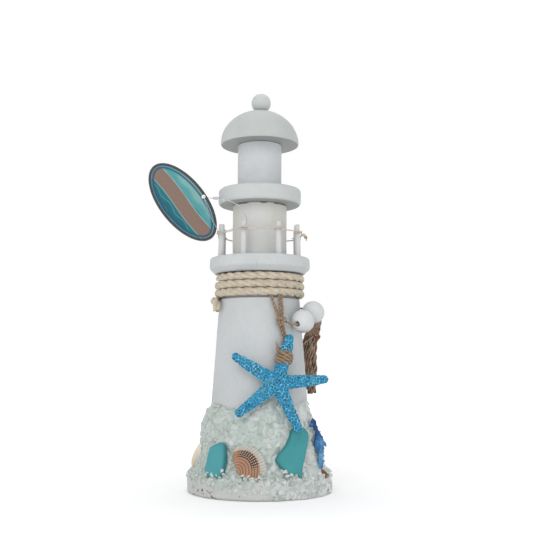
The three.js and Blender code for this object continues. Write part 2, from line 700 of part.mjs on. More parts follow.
// ---------------------------------------------------------------- card tag on its nylon loop
const LOCK_CENTRE = [-28.9, -16.3, 191.6];
const NYLON_ROUTE = [
  [-26.2, -17.9, 191.2], [-23.4, -19.9, 190.2], [-19.8, -22.4, 188.6], [-15.6, -24.6, 186.2],
  [-11.8, -26.4, 182.6], [-9.2, -27.8, 178.6], [-8.2, -29.3, 174.6], [-9.6, -31.2, 171.3],
  [-14, -29.8, 169.3], [-19.2, -24.7, 168], [-23.8, -19.8, 168.4], [-26.8, -16.7, 170],
  [-28.8, -16.2, 172.4], [-31.4, -16.2, 177], [-34, -16.2, 183.4], [-36.2, -16.2, 189.6],
  [-37.1, -15.6, 192.2], [-37.3, -14.6, 192.9], [-36.8, -13.5, 193.1], [-34.9, -13.2, 192.7],
  [-33, -13.6, 192.3], [-31.4, -14.8, 191.9],
];

function addTag() {
  const outline = new THREE.Shape();
  outline.absellipse(0, 0, TAG_LENGTH / 2, TAG_WIDTH / 2, 0, 2 * Math.PI, false);
  const hole = new THREE.Path();
  hole.absarc(TAG_HOLE_OFFSET[0], TAG_HOLE_OFFSET[1], TAG_HOLE_RADIUS, 0, 2 * Math.PI, true);
  outline.holes.push(hole);
  const card = plate(outline, TAG_THICKNESS);
  card.applyMatrix4(surfaceFrame(0, new THREE.Vector3(...TAG_CENTRE), 0, TAG_TILT));
  add('tag_card', card, PRINTED_CARD);

  add('tag_loop', tube(NYLON_ROUTE, NYLON_DIAMETER, 56), NYLON);
  const lock = new THREE.SphereGeometry(1, 8, 6).scale(2.4, 1.1, 1.1);
  lock.rotateZ(-32 * DEG).translate(...LOCK_CENTRE);
  add('tag_lock', closedBody(lock), NYLON);
}

// ---------------------------------------------------------------- assembly
addPlinth();
addTower();
addGalleryDeck();
addLanterns();
addDomeAndFinial();
addDowels();
addRail();
add('rope_wrap', tube(ropeRoute(), ROPE_DIAMETER, 80), ROPE);
addFootDecorations();
addHanger();
addBeadString();
addTassel();
addTag();

export default model;
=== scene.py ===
"""A wooden lighthouse ornament: turned and painted wood, rope, jute, crushed glass, shells, a resin
starfish and seahorse, wooden beads, a tassel and a card tag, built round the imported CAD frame.
Shapes are worked out in millimetres and turned into metres when a mesh is made. A facing angle is
measured in degrees from the front (-Y) towards +X."""

import math
import random

import bmesh
import bpy
import numpy as np
from mathutils import Matrix, Vector, kdtree, noise


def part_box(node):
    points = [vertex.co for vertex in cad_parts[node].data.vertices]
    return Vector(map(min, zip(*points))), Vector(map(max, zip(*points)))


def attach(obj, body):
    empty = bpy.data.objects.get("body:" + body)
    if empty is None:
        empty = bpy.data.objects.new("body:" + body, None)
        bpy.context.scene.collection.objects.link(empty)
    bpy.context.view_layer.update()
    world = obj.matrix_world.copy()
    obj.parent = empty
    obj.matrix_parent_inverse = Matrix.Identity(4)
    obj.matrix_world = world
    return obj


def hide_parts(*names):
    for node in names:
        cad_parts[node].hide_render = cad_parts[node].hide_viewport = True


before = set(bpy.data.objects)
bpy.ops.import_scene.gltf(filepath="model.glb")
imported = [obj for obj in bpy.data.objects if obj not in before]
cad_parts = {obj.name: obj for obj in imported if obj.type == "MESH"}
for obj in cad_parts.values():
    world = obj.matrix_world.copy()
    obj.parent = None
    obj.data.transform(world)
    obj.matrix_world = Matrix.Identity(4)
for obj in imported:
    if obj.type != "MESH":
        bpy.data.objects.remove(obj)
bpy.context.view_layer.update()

MM = 0.001
ROOT = "lighthouse"
SEED = 20
TOWER_TAPER = 0.075


# ------------------------------------------------------------------ where the decorations are set
def facing(angle, radius, height):
    a = math.radians(angle)
    return np.array([radius * math.sin(a), -radius * math.cos(a), height])


# Each place is the facing, centre, lean and roll that surface_frame takes.
GLASS_LEFT_PLACE = (-37.8, facing(-37.8, 42.4, 24.2), 9, 0)
GLASS_RIGHT_PLACE = (29.8, facing(29.8, 41.2, 28.6), 13, 0)
COCKLE_PLACE = (-8.4, facing(-8.4, 41.7, 21.9), 14, -56)
CREAM_PLACE = (-84, facing(-84, 40.0, 22.8), 14, 0)
SEAHORSE_PLACE = (66, facing(66, 41.8, 30.4), 10, 0)

# Outlines in each place's own plane.
GLASS_LEFT_OUTLINE = [
    (-8.3, -7), (-6.6, -11.4), (0, -12), (5.4, -11.5), (6.4, -6.5), (6.6, 1.5), (5.2, 8), (1.2, 10.2),
    (-6.1, 6.4), (-7.4, 0.5),
]
GLASS_RIGHT_OUTLINE = [
    (-13, -5.1), (-9.6, -9.9), (-6, -14.6), (1.2, -14.9), (2.2, -17.4), (3.5, -17.2), (5, -11.7),
    (8.8, -2), (12.4, 8.3), (12.2, 11.8), (9.4, 14.6), (4.2, 15.2), (0.6, 13.2), (-1.2, 8.9),
    (-4.6, 4), (-10.6, -0.9),
]
COCKLE_OUTLINE = [(-9, 1), (-7, -9), (7, -8.4), (8.4, 1), (4, 8), (-4, 8.4)]
CREAM_OUTLINE = [(-7, -8), (7, -8), (7.4, 4), (3, 9.4), (-3, 9.4), (-7.4, 4)]
SEAHORSE_OUTLINE = [(-4.6, -16.5), (3, -15), (5.6, 0), (4, 9), (3, 18), (-6, 16), (-3, 4)]


# ------------------------------------------------------------------ camera, lights and stage
CAMERA_LENS = 57.4
CAMERA_DISTANCE = 0.571
CAMERA_HEIGHT = 0.0824
CAMERA_PITCH = 6.55
CAMERA_YAW = -0.47


def add_camera():
    data = bpy.data.cameras.new("camera")
    data.lens = CAMERA_LENS
    data.sensor_width = 36
    data.clip_start = 0.01
    camera = bpy.data.objects.new("camera", data)
    camera.location = (0, -CAMERA_DISTANCE, CAMERA_HEIGHT)
    camera.rotation_euler = (math.radians(90 + CAMERA_PITCH), 0, math.radians(CAMERA_YAW))
    bpy.context.scene.collection.objects.link(camera)
    bpy.context.scene.camera = camera


def add_area_light(name, location, target, size, power):
    data = bpy.data.lights.new(name, "AREA")
    data.size = size
    data.energy = power
    light = bpy.data.objects.new(name, data)
    light.location = location
    aim = Vector(target) - Vector(location)
    light.rotation_euler = aim.to_track_quat("-Z", "Y").to_euler()
    bpy.context.scene.collection.objects.link(light)


# The world's tone by the height of a direction (-1 down, 1 up) and by how far sideways it points.
WALL_HEIGHT_TONES = [(0.46, 1.0), (0.7, (0.25, 0.25, 0.26))]
WALL_SIDE_TONES = [(0.36, 1.0), (0.8, (0.74, 0.74, 0.75))]


def add_studio_walls():
    """A world that is white behind and in front, greyer to the sides and darker overhead."""
    world = bpy.data.worlds.new("studio")
    bpy.context.scene.world = world
    world.use_nodes = True
    nodes = Nodes(world.node_tree)
    direction = nodes.split(nodes.node("ShaderNodeTexCoord").outputs["Generated"])
    height = nodes.ramp(direction["Z"], WALL_HEIGHT_TONES)
    side = nodes.ramp(nodes.math("ABSOLUTE", direction["X"]), WALL_SIDE_TONES)
    tone = nodes.mix(1.0, height, side, "MULTIPLY")
    nodes.feed(world.node_tree.nodes["Background"].inputs["Color"], tone)


KEY_LIGHT = dict(location=(-0.25, -1.3, 1.0), target=(0, 0, 0.13), size=0.9, power=6.0)
TOP_LIGHT = dict(location=(0, 0.1, 1.6), target=(0, 0, 0), size=1.6, power=14)
FLOOR_HALF = 4.0
FLOOR_TONES = [(0.3, 0.90), (0.7, 0.92)]
# How brightly the floor glows, by the distance from the ornament in metres.
FLOOR_GLOW = [(0.0, 0.10), (0.25, 0.22), (0.6, 0.55), (1.0, 0.75)]


def floor_paper():
    shade = Shader("floor_paper", roughness=0.9)
    shade.color(shade.ramp(shade.noise(0.02, 3), FLOOR_TONES))
    distance = shade.node("ShaderNodeVectorMath", operation="LENGTH")
    shade.feed(distance.inputs[0], shade.place)
    shade.feed(shade.bsdf.inputs["Emission Color"], shade.ramp(distance.outputs["Value"], FLOOR_GLOW))
    shade.bsdf.inputs["Emission Strength"].default_value = 1.0
    return shade.material


def add_stage():
    """A white studio with one soft light high in front, and a pale floor that glows more far out."""
    add_studio_walls()
    add_area_light("key", **KEY_LIGHT)
    add_area_light("top", **TOP_LIGHT)
    mesh = bpy.data.meshes.new("floor")
    corners = [(x * FLOOR_HALF, y * FLOOR_HALF, 0) for x, y in [(-1, -1), (1, -1), (1, 1), (-1, 1)]]
    mesh.from_pydata(corners, [], [(0, 1, 2, 3)])
    mesh.materials.append(floor_paper())
    floor = bpy.data.objects.new("floor", mesh)
    bpy.context.scene.collection.objects.link(floor)
    bpy.context.scene.view_settings.view_transform = "Standard"


# ------------------------------------------------------------------ shader helpers
class Nodes:
    """Short ways to add shader nodes to a tree. A value is a number, a colour or a socket."""

    def __init__(self, tree):
        self.tree = tree

    def node(self, kind, **settings):
        made = self.tree.nodes.new(kind)
        for key, value in settings.items():
            setattr(made, key, value)
        return made

    def feed(self, socket, value):
        if isinstance(value, bpy.types.NodeSocket):
            self.tree.links.new(value, socket)
        elif isinstance(value, tuple) and len(value) == 3 and socket.type == "RGBA":
            socket.default_value = (*value, 1)
        else:
            socket.default_value = value

    def math(self, operation, a, b=0.0, clamp=False):
        made = self.node("ShaderNodeMath", operation=operation, use_clamp=clamp)
        self.feed(made.inputs[0], a)
        self.feed(made.inputs[1], b)
        return made.outputs[0]

    def plus(self, a, b):
        return self.math("ADD", a, b)

    def minus(self, a, b, clamp=False):
        return self.math("SUBTRACT", a, b, clamp)

    def times(self, a, b, clamp=False):
        return self.math("MULTIPLY", a, b, clamp)

    def sine(self, value, waves):
        return self.math("SINE", self.times(value, waves))

    def split(self, vector):
        made = self.node("ShaderNodeSeparateXYZ")
        self.feed(made.inputs[0], vector)
        return made.outputs

    def ramp(self, value, stops):
        made = self.node("ShaderNodeValToRGB")
        elements = made.color_ramp.elements
        while len(elements) < len(stops):
            elements.new(0.5)
        for element, (position, tone) in zip(elements, stops):
            element.position = position
            color = tone if isinstance(tone, tuple) else (tone, tone, tone)
            element.color = (*color, 1)
        self.feed(made.inputs["Fac"], value)
        return made.outputs["Color"]

    def mix(self, factor, a, b, blend="MIX"):
        made = self.node("ShaderNodeMix", data_type="RGBA", blend_type=blend)
        factor_socket, a_socket, b_socket = made.inputs[0], made.inputs[6], made.inputs[7]
        self.feed(factor_socket, factor)
        self.feed(a_socket, a)
        self.feed(b_socket, b)
        return made.outputs[2]

    def band(self, value, low, high, soft):
        """1 where value lies between low and high, falling to 0 over soft."""
        rise = self.times(self.minus(value, low), 1 / soft, True)
        fall = self.times(self.minus(high, value), 1 / soft, True)
        return self.times(rise, fall, True)


class Shader(Nodes):
    """A Principled material and the few node recipes that every finish below is made from.
    Texture scales are in features per millimetre."""

    def __init__(self, name, roughness=0.5, **sockets):
        self.material = bpy.data.materials.new(name)
        self.material.use_nodes = True
        super().__init__(self.material.node_tree)
        self.bsdf = self.tree.nodes["Principled BSDF"]
        self.bsdf.inputs["Roughness"].default_value = roughness
        for socket, value in sockets.items():
            self.bsdf.inputs[socket.replace("_", " ")].default_value = value
        self.place = self.node("ShaderNodeTexCoord").outputs["Object"]

    def upward(self):
        """How far the surface's own normal points up: 0 down, 0.5 level, 1 up."""
        rise = self.split(self.node("ShaderNodeTexCoord").outputs["Normal"])[2]
        return self.plus(self.times(rise, 0.5), 0.5)

    def color(self, value):
        self.feed(self.bsdf.inputs["Base Color"], value)

    def rough(self, value):
        self.feed(self.bsdf.inputs["Roughness"], value)

    def stretched(self, x, y, z, source=None):
        made = self.node("ShaderNodeVectorMath", operation="MULTIPLY")
        self.feed(made.inputs[0], source or self.place)
        made.inputs[1].default_value = (x, y, z)
        return made.outputs[0]

    def noise(self, scale, detail=2, roughness=0.5, at=None):
        made = self.node("ShaderNodeTexNoise")
        made.inputs["Scale"].default_value = scale / MM
        made.inputs["Detail"].default_value = detail
        made.inputs["Roughness"].default_value = roughness
        self.feed(made.inputs["Vector"], at or self.place)
        return made.outputs["Fac"]

    def wander(self, amount, scale, detail=2, roughness=0.5):
        """A noise about zero."""
        return self.times(self.minus(self.noise(scale, detail, roughness), 0.5), amount)

    def cells(self, scale):
        made = self.node("ShaderNodeTexVoronoi")
        made.inputs["Scale"].default_value = scale / MM
        self.feed(made.inputs["Vector"], self.place)
        return made.outputs["Distance"]

    def attribute(self, name):
        return self.node("ShaderNodeAttribute", attribute_name=name).outputs["Fac"]

    def uv(self):
        return self.node("ShaderNodeUVMap", uv_map="UVMap").outputs["UV"]

    def bump(self, *layers):
        """Each layer is (height, depth in millimetres)."""
        normal = None
        for height, depth in layers:
            made = self.node("ShaderNodeBump")
            made.inputs["Distance"].default_value = depth * MM
            self.feed(made.inputs["Height"], height)
            if normal is not None:
                self.feed(made.inputs["Normal"], normal)
            normal = made.outputs["Normal"]
        self.feed(self.bsdf.inputs["Normal"], normal)


# ------------------------------------------------------------------ mesh helpers
def surface_frame(angle, centre, lean=0.0, roll=0.0):
    """A 4 by 4 matrix: x to the right as seen from outside, y up, z outwards."""
    out = facing(angle, 1, 0)
    right = np.array([math.cos(math.radians(angle)), math.sin(math.radians(angle)), 0])
    up = np.array([0, 0, 1.0])
    c, s = math.cos(math.radians(lean)), math.sin(math.radians(lean))
    matrix = np.eye(4)
    matrix[:3, 0] = right
    matrix[:3, 1] = up * c - out * s
    matrix[:3, 2] = out * c + up * s
    matrix[:3, 3] = centre
    return matrix @ np.array(Matrix.Rotation(math.radians(roll), 4, "Z"))


def placed(points, matrix):
    points = np.asarray(points, float)
    return points @ matrix[:3, :3].T + matrix[:3, 3]


def box_mm(node):
    lo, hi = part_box(node)
    return np.array(lo) / MM, np.array(hi) / MM


class Bits:
    """Collects many small closed meshes, and their attributes, into one."""

    def __init__(self):
        self.verts = []
        self.faces = []
        self.values = {}
        self.uvs = []
        self.count = 0

    def add(self, verts, faces, uv=None, **values):
        verts = np.asarray(verts, float)
        self.verts.append(verts)
        self.faces.extend([tuple(i + self.count for i in face) for face in faces])
        for key, value in values.items():
            column = np.broadcast_to(np.asarray(value, float), (len(verts),))
            self.values.setdefault(key, []).append(column)
        if uv is not None:
            self.uvs.append(np.asarray(uv, float))
        self.count += len(verts)

    def build(self, name, material, smooth=True):
        mesh = bpy.data.meshes.new(name)
        verts = np.concatenate(self.verts) * MM
        mesh.from_pydata(verts.tolist(), [], self.faces)
        mesh.polygons.foreach_set("use_smooth", [smooth] * len(mesh.polygons))
        for key, columns in self.values.items():
            attribute = mesh.attributes.new(key, "FLOAT", "POINT")
            attribute.data.foreach_set("value", np.concatenate(columns).astype(np.float32))
        if self.uvs:
            flat = np.concatenate(self.uvs)
            layer = mesh.uv_layers.new(name="UVMap")
            index = np.zeros(len(mesh.loops), int)
            mesh.loops.foreach_get("vertex_index", index)
            layer.data.foreach_set("uv", flat[index].astype(np.float32).ravel())
        mesh.materials.append(material)
        mesh.update()
        made = bpy.data.objects.new(name, mesh)
        bpy.context.scene.collection.objects.link(made)
        return made


def finished(piece, body, slot, *nodes):
    """Hides the CAD nodes the piece stands for and attaches it to the body it rides on; slot is not used.
    """
    if nodes:
        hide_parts(*nodes)
    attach(piece, body)
    return piece


def welded(piece, distance, outward=False):
    """Merges the vertices that meet, and turns the faces out if asked to."""
    mesh = bmesh.new()
    mesh.from_mesh(piece.data)
    bmesh.ops.remove_doubles(mesh, verts=mesh.verts, dist=distance)
    if outward:
        bmesh.ops.recalc_face_normals(mesh, faces=mesh.faces)
    mesh.to_mesh(piece.data)
    mesh.free()
    return piece


def modified(piece, kind, **settings):
    """Applies one modifier to the piece's mesh."""
    modifier = piece.modifiers.new(kind.lower(), kind)
    for key, value in settings.items():
        setattr(modifier, key, value)
    graph = bpy.context.evaluated_depsgraph_get()
    mesh = bpy.data.meshes.new_from_object(piece.evaluated_get(graph))
    piece.modifiers.clear()
    old = piece.data
    piece.data = mesh
    bpy.data.meshes.remove(old)
    return piece


def rounded_profile(corners, steps=6):
    """Corners are (radius, height, fillet); each fillet is a smooth curve of that reach."""
    points = []
    last = len(corners) - 1
    for i, (r, z, fillet) in enumerate(corners):
        here = np.array([r, z])
        if i in (0, last) or fillet == 0:
            points.append(here)
            continue
        before = np.array(corners[i - 1][:2]) - here
        after = np.array(corners[i + 1][:2]) - here
        reach_in = min(fillet, 0.49 * np.linalg.norm(before))
        reach_out = min(fillet, 0.49 * np.linalg.norm(after))
        start = here + before / np.linalg.norm(before) * reach_in
        end = here + after / np.linalg.norm(after) * reach_out
        for t in np.linspace(0, 1, steps + 1):
            points.append((1 - t) ** 2 * start + 2 * t * (1 - t) * here + t * t * end)
    return points


def dense_profile(points, longest=3.0):
    """Adds points so that no stretch is longer than that many millimetres."""
    result = [points[0]]
    for a, b in zip(points, points[1:]):
        parts = max(1, math.ceil(np.linalg.norm(b - a) / longest))
        result.extend(a + (b - a) * k / parts for k in range(1, parts + 1))
    return result


def lathe(profile, around=128):
    """A closed body turned about Z from (radius, height) points that start and end on the axis
    or close on themselves. Returns vertices and faces, facing out."""
    verts = []
    rings = []
    for r, z in profile:
        if r < 1e-6:
            rings.append([len(verts)] * around)
            verts.append((0, 0, z))
            continue
        rings.append(list(range(len(verts), len(verts) + around)))
        verts.extend(facing(360 * k / around, r, z) for k in range(around))
    faces = []
    for low, high in zip(rings, rings[1:]):
        for k in range(around):
            n = (k + 1) % around
            face = [low[k], low[n], high[n], high[k]]
            unique = list(dict.fromkeys(face))
            if len(unique) > 2:
                faces.append(unique)
    return np.array(verts), faces


def catmull_point(p0, p1, p2, p3, t):
    """The point at t between p1 and p2 on the Catmull-Rom curve of four points."""
    return 0.5 * (2 * p1 + (p2 - p0) * t + (2 * p0 - 5 * p1 + 4 * p2 - p3) * t * t
                  + (3 * p1 - p0 - 3 * p2 + p3) * t ** 3)


def catmull(points, spacing):
    """A smooth curve through the points, resampled at an even spacing."""
    points = np.asarray(points, float)
    padded = np.vstack([2 * points[0] - points[1], points, 2 * points[-1] - points[-2]])
    fine = []
    for i in range(len(points) - 1):
        for t in np.linspace(0, 1, 24, endpoint=False):
            fine.append(catmull_point(*padded[i : i + 4], t))
    fine.append(points[-1])
    return resampled(np.array(fine), spacing)


def resampled(line, spacing):
    """The same line with its points at an even spacing."""
    steps = np.linalg.norm(np.diff(line, axis=0), axis=1)
    along = np.concatenate([[0], np.cumsum(steps)])
    count = max(2, int(round(along[-1] / spacing)) + 1)
    wanted = np.linspace(0, along[-1], count)
    return np.column_stack([np.interp(wanted, along, line[:, k]) for k in range(3)])


def line_frames(line):
    """Normals and binormals carried along a line without twisting, and the length so far."""
    tangent = np.gradient(line, axis=0)
    tangent /= np.linalg.norm(tangent, axis=1)[:, None]
    seed = np.array([0, 0, 1.0])
    if abs(tangent[0] @ seed) > 0.9:
        seed = np.array([1.0, 0, 0])
    normals = []
    current = seed
    for t in tangent:
        current = current - t * (current @ t)
        current /= np.linalg.norm(current)
        normals.append(current)
    normals = np.array(normals)
    steps = np.linalg.norm(np.diff(line, axis=0), axis=1)
    return normals, np.cross(tangent, normals), np.concatenate([[0], np.cumsum(steps)])


def sweep(line, radius, sides=8, squash=1.0):
    """A capped tube along a line. radius is one number or one for each point of the line."""
    normals, binormals, along = line_frames(line)
    radius = np.broadcast_to(np.asarray(radius, float), (len(line),))
    verts = []
    uvs = []
    for k in range(sides):
        a = 2 * math.pi * k / sides
        offset = normals * math.cos(a) + binormals * math.sin(a) * squash
        verts.append(line + offset * radius[:, None])
        uvs.append(np.column_stack([along, np.full(len(line), k / sides)]))
    count = len(line)
    faces = []
    for k in range(sides):
        n = (k + 1) % sides
        for i in range(count - 1):
            faces.append((k * count + i, n * count + i, n * count + i + 1, k * count + i + 1))
    faces.append([k * count for k in range(sides)][::-1])
    faces.append([k * count + count - 1 for k in range(sides)])
    return np.concatenate(verts), faces, np.concatenate(uvs)


def ring_faces(rings, around, closed=False):
    """Quads between each ring of vertices and the next, and from the last to the first if closed."""
    faces = []
    for i in range(rings if closed else rings - 1):
        low, high = i * around, (i + 1) % rings * around
        for k in range(around):
            n = (k + 1) % around
            faces.append((low + k, low + n, high + n, high + k))
    return faces


def trefoil(width, depth, height, count=60):
    """The line of an overhand knot: x across, y through and z up."""
    t = np.linspace(0, 2 * math.pi, count)
    across = np.sin(t) + 2 * np.sin(2 * t)
    up = np.cos(t) - 2 * np.cos(2 * t)
    return np.column_stack([across * width, -np.sin(3 * t) * depth, up * height])


def lying(knot):
    """The same knot with its depth along z."""
    return knot[:, [0, 2, 1]]


def laid_strands(line, count, lay_radius, strand_radius, pitch, sides=8, phase=0.0):
    """The strands of a laid rope along a line, as sweeps, and how far out each vertex stands."""
    normals, binormals, along = line_frames(line)
    for k in range(count):
        angle = 2 * math.pi * (along / pitch + k / count) + phase
        offset = normals * np.cos(angle)[:, None] + binormals * np.sin(angle)[:, None]
        verts, faces, uv = sweep(line + offset * lay_radius, strand_radius, sides)
        out = np.linalg.norm(verts - np.tile(line, (sides, 1)), axis=1) / (lay_radius + strand_radius)
        yield verts, faces, uv, out


def add_cord(bits, line, diameter, pitch, count=2, sides=8, phase=0.0):
    """A twisted cord whose strands fill the given diameter."""
    strand = diameter / 2 * (0.56 if count == 2 else 0.52)
    lay = diameter / 2 - strand
    for verts, faces, uv, out in laid_strands(line, count, lay, strand, pitch, sides, phase):
        bits.add(verts, faces, uv, proud=out)


def add_thread(bits, path, radii, sides=5):
    """A single loose strand, which has no grooves."""
    verts, faces, uv = sweep(path, radii, sides)
    bits.add(verts, faces, uv, proud=1.0)


def add_fuzz(bits, line, reach, count, rng, length=3.0, thickness=0.09):
    """Loose fibres that stand out of a cord."""
    normals, binormals, _ = line_frames(line)
    for _ in range(count):
        i = rng.randrange(1, len(line) - 1)
        a = rng.uniform(0, 2 * math.pi)
        out = normals[i] * math.cos(a) + binormals[i] * math.sin(a)
        along = (line[i + 1] - line[i - 1]) / np.linalg.norm(line[i + 1] - line[i - 1])
        start = line[i] + out * reach * 0.7
        span = rng.uniform(0.4, 1.0) * length
        bend = rng.uniform(-0.6, 0.6)
        way = out * rng.uniform(0.25, 0.8) + along * rng.choice((-1, 1)) * rng.uniform(0.5, 1)
        side = np.cross(out, along)
        points = [start + way * span * t + side * bend * span * t * t for t in (0, 0.33, 0.66, 1)]
        width = np.array([1, 0.9, 0.7, 0.3]) * thickness
        add_thread(bits, np.array(points), width, 3)


def ripple(points, scale, amount, seed=0.0):
    """A smooth pseudo-random vector field, for the small unevenness of hand-made things."""
    shifted = np.asarray(points) * scale + seed
    x, y, z = shifted[:, 0], shifted[:, 1], shifted[:, 2]
    field = np.column_stack([
        np.sin(x + 1.7 * np.sin(y * 0.8)) + np.sin(z * 1.3 + 2),
        np.sin(y + 1.7 * np.sin(z * 0.8)) + np.sin(x * 1.3 + 4),
        np.sin(z + 1.7 * np.sin(x * 0.8)) + np.sin(y * 1.3 + 6),
    ])
    return field * amount / 2


# ------------------------------------------------------------------ materials
PAINT = 0.54
WORN_PAINT = 0.93
# Painted shade under the paint: its tone by how far the surface points up, darker where it faces down.
UNDERSIDE_PAINTED_SHADE = [(0.03, 0.55), (0.13, 0.90), (0.36, 0.99), (0.5, 1.0)]
GROOVE_SHADE = (0.34, 0.27, 0.21)
GROWTH_WAVES = 68.0
WEAVE_WAVES = 101.0


def white_paint(name, tint=(1, 1, 1), extra=None):
    """Matt white paint over wood: brush unevenness, greyer worn patches and painted shade underneath."""
    shade = Shader(name, roughness=0.62)
    base = tuple(PAINT * t for t in tint)
    grey = tuple(PAINT * WORN_PAINT * t for t in tint)
    patches = shade.noise(0.035, 4, 0.6)
    tone = shade.ramp(patches, [(0.35, grey), (0.6, base)])
    dust = shade.ramp(shade.noise(0.5, 4, 0.7), [(0.35, WORN_PAINT), (0.6, 1.0)])
    tone = shade.mix(0.6, tone, dust, "MULTIPLY")
    # Painted shade: the paint darkens where the surface faces down.
    tone = shade.mix(1.0, tone, shade.ramp(shade.upward(), UNDERSIDE_PAINTED_SHADE), "MULTIPLY")
    if extra:
        tone = extra(shade, tone)
    shade.color(tone)
    shade.rough(shade.ramp(shade.noise(0.2, 3), [(0.3, 0.55), (0.7, 0.7)]))
    grain = shade.noise(0.25, 5, 0.6, shade.stretched(1, 1, 0.25))
    shade.bump((grain, 0.12), (shade.noise(1.8, 3, 0.6), 0.05))
    return shade.material


def facing_output(shade):
    """The facing angle in degrees and the height in metres at each point."""
    x, y, z = shade.split(shade.place)[:3]
    angle = shade.math("ARCTAN2", x, shade.times(y, -1.0))
    return shade.math("DEGREES", angle), z


def with_crack(at, half_width, z_low, z_high, tone=(0.30, 0.30, 0.29), wobble=0.8):
    """A hairline crack down the grain, at a facing angle, between two heights in millimetres."""
    def add(shade, color):
        angle, z = facing_output(shade)
        drift = shade.wander(wobble, 0.05)
        angle = shade.plus(angle, drift)
        line = shade.band(angle, at - half_width, at + half_width, half_width * 0.6)
        span = shade.band(z, z_low * MM, z_high * MM, 4 * MM)
        mask = shade.times(line, span, True)
        return shade.mix(shade.times(mask, 0.75), color, tone)
    return add


def with_worn_specks(shade, color):
    """Chips in the paint of the plinth that show the brown wood."""
    angle, _ = facing_output(shade)
    chips = shade.noise(0.32, 3, 0.55, shade.stretched(1, 1, 1.5))
    left = shade.band(angle, -80.0, -18.0, 14.0)
    low_front = shade.times(shade.band(angle, -30.0, 30.0, 8.0), 0.85)
    where = shade.math("MAXIMUM", left, low_front)
    mask = shade.ramp(shade.times(chips, where), [(0.575, 0.0), (0.60, 1.0)])
    worn = shade.mix(shade.noise(0.6, 2), (0.10, 0.055, 0.04), (0.27, 0.19, 0.16))
    return shade.mix(mask, color, worn)


def with_joint_dirt(z_low, z_high):
    """Broken dark marks where one part is glued to the next."""
    def add(shade, color):
        _, z = facing_output(shade)
        span = shade.band(z, z_low * MM, z_high * MM, 0.25 * MM)
        breaks = shade.ramp(shade.noise(0.16, 3, 0.6, shade.stretched(1, 1, 0.1)),
                            [(0.46, 0.0), (0.53, 1.0)])
        mask = shade.times(span, breaks, True)
        warm = shade.ramp(shade.noise(0.03, 2, 0.5, shade.stretched(1, 1, 0.3)),
                          [(0.42, (1, 1, 1)), (0.6, (1.0, 0.975, 0.90))])
        color = shade.mix(1.0, color, warm, "MULTIPLY")
        return shade.mix(mask, color, (0.13, 0.12, 0.11))
    return add


def fibre_cord(name, dark, light, twist, groove=(0.35, 0.88)):
    """Twisted plant fibre: fine streaks along each strand, dark in the grooves. The groove pair
    says how far out its shadow starts to fade and where it ends."""
    shade = Shader(name, roughness=0.9, Sheen_Weight=0.15, Sheen_Roughness=0.5)
    streaks = shade.noise(0.001, 4, 0.7, shade.stretched(0.5, twist, 1, shade.uv()))
    mottle = shade.noise(0.3, 3, 0.6)
    both = shade.plus(shade.times(streaks, 0.6), shade.times(mottle, 0.4))
    middle = tuple((a + b) / 2 for a, b in zip(dark, light))
    fibre = shade.ramp(both, [(0.34, dark), (0.5, middle), (0.64, light)])
    shadow = shade.ramp(shade.attribute("proud"), [(groove[0], GROOVE_SHADE), (groove[1], 1.0)])
    shade.color(shade.mix(1.0, fibre, shadow, "MULTIPLY"))
    shade.bump((streaks, 0.25), (shade.noise(2.5, 2), 0.08))
    return shade.material


def starfish_resin():
    """Deep blue resin with a pale dry-brushed net standing on it, whitest on its tops with a painted
    highlight.
    """
    shade = Shader("starfish_resin", roughness=0.45)
    ridge = shade.attribute("ridge")
    uneven = shade.wander(0.8, 0.25, 4, 0.65)
    brushed = shade.plus(ridge, uneven)
    deep = shade.ramp(shade.noise(0.35, 3, 0.6), [
        (0.34, (0.001, 0.065, 0.14)), (0.46, (0.001, 0.15, 0.32)), (0.62, (0.001, 0.235, 0.47))])
    tone = shade.ramp(brushed, [(0.42, 0.0), (0.9, 1.0)])
    color = shade.mix(tone, deep, (0.015, 0.41, 0.56))
    # The net's highest tops turn almost white: paler paint there, with a painted highlight on it.
    tip_paint_and_highlight = shade.ramp(brushed, [(0.84, 0.0), (1.0, 0.9)])
    color = shade.mix(tip_paint_and_highlight, color, (0.46, 0.83, 0.88))
    worn = shade.ramp(shade.noise(0.13, 2, 0.5), [(0.62, 0.0), (0.70, 0.45)])
    shade.color(shade.mix(worn, color, (0.08, 0.36, 0.43)))
    shade.rough(shade.ramp(brushed, [(0.3, 0.36), (0.9, 0.6)]))
    shade.bump((shade.noise(1.2, 4, 0.7), 0.10))
    return shade.material


def crushed_glass():
    """Frosted chips of clear glass, each a slightly different grey-green white, with a few
    grains of brown grit among them. On the skin the tone also holds painted shade, darker on the left."""
    shade = Shader("crushed_glass", roughness=0.38, Subsurface_Weight=0.7, IOR=1.5)
    shade.bsdf.inputs["Subsurface Scale"].default_value = 2.5 * MM
    shade.bsdf.inputs["Subsurface Radius"].default_value = (1.0, 1.0, 1.0)
    tint = shade.attribute("tint")
    color = shade.ramp(tint, [(0.0, (0.45, 0.505, 0.47)), (0.45, (0.555, 0.60, 0.575)),
                              (0.8, (0.645, 0.675, 0.66)), (1.0, (0.72, 0.735, 0.725))])
    cloud = shade.ramp(shade.noise(0.06, 3, 0.6), [(0.38, (0.90, 0.945, 0.92)), (0.62, (1, 1, 1))])
    color = shade.mix(1.0, color, cloud, "MULTIPLY")
    shade.color(shade.mix(shade.attribute("grit"), color, (0.20, 0.13, 0.07)))
    shade.rough(shade.ramp(shade.noise(0.4, 3), [(0.3, 0.22), (0.7, 0.55)]))
    shade.bump((shade.noise(0.9, 4, 0.6), 0.12))
    return shade.material


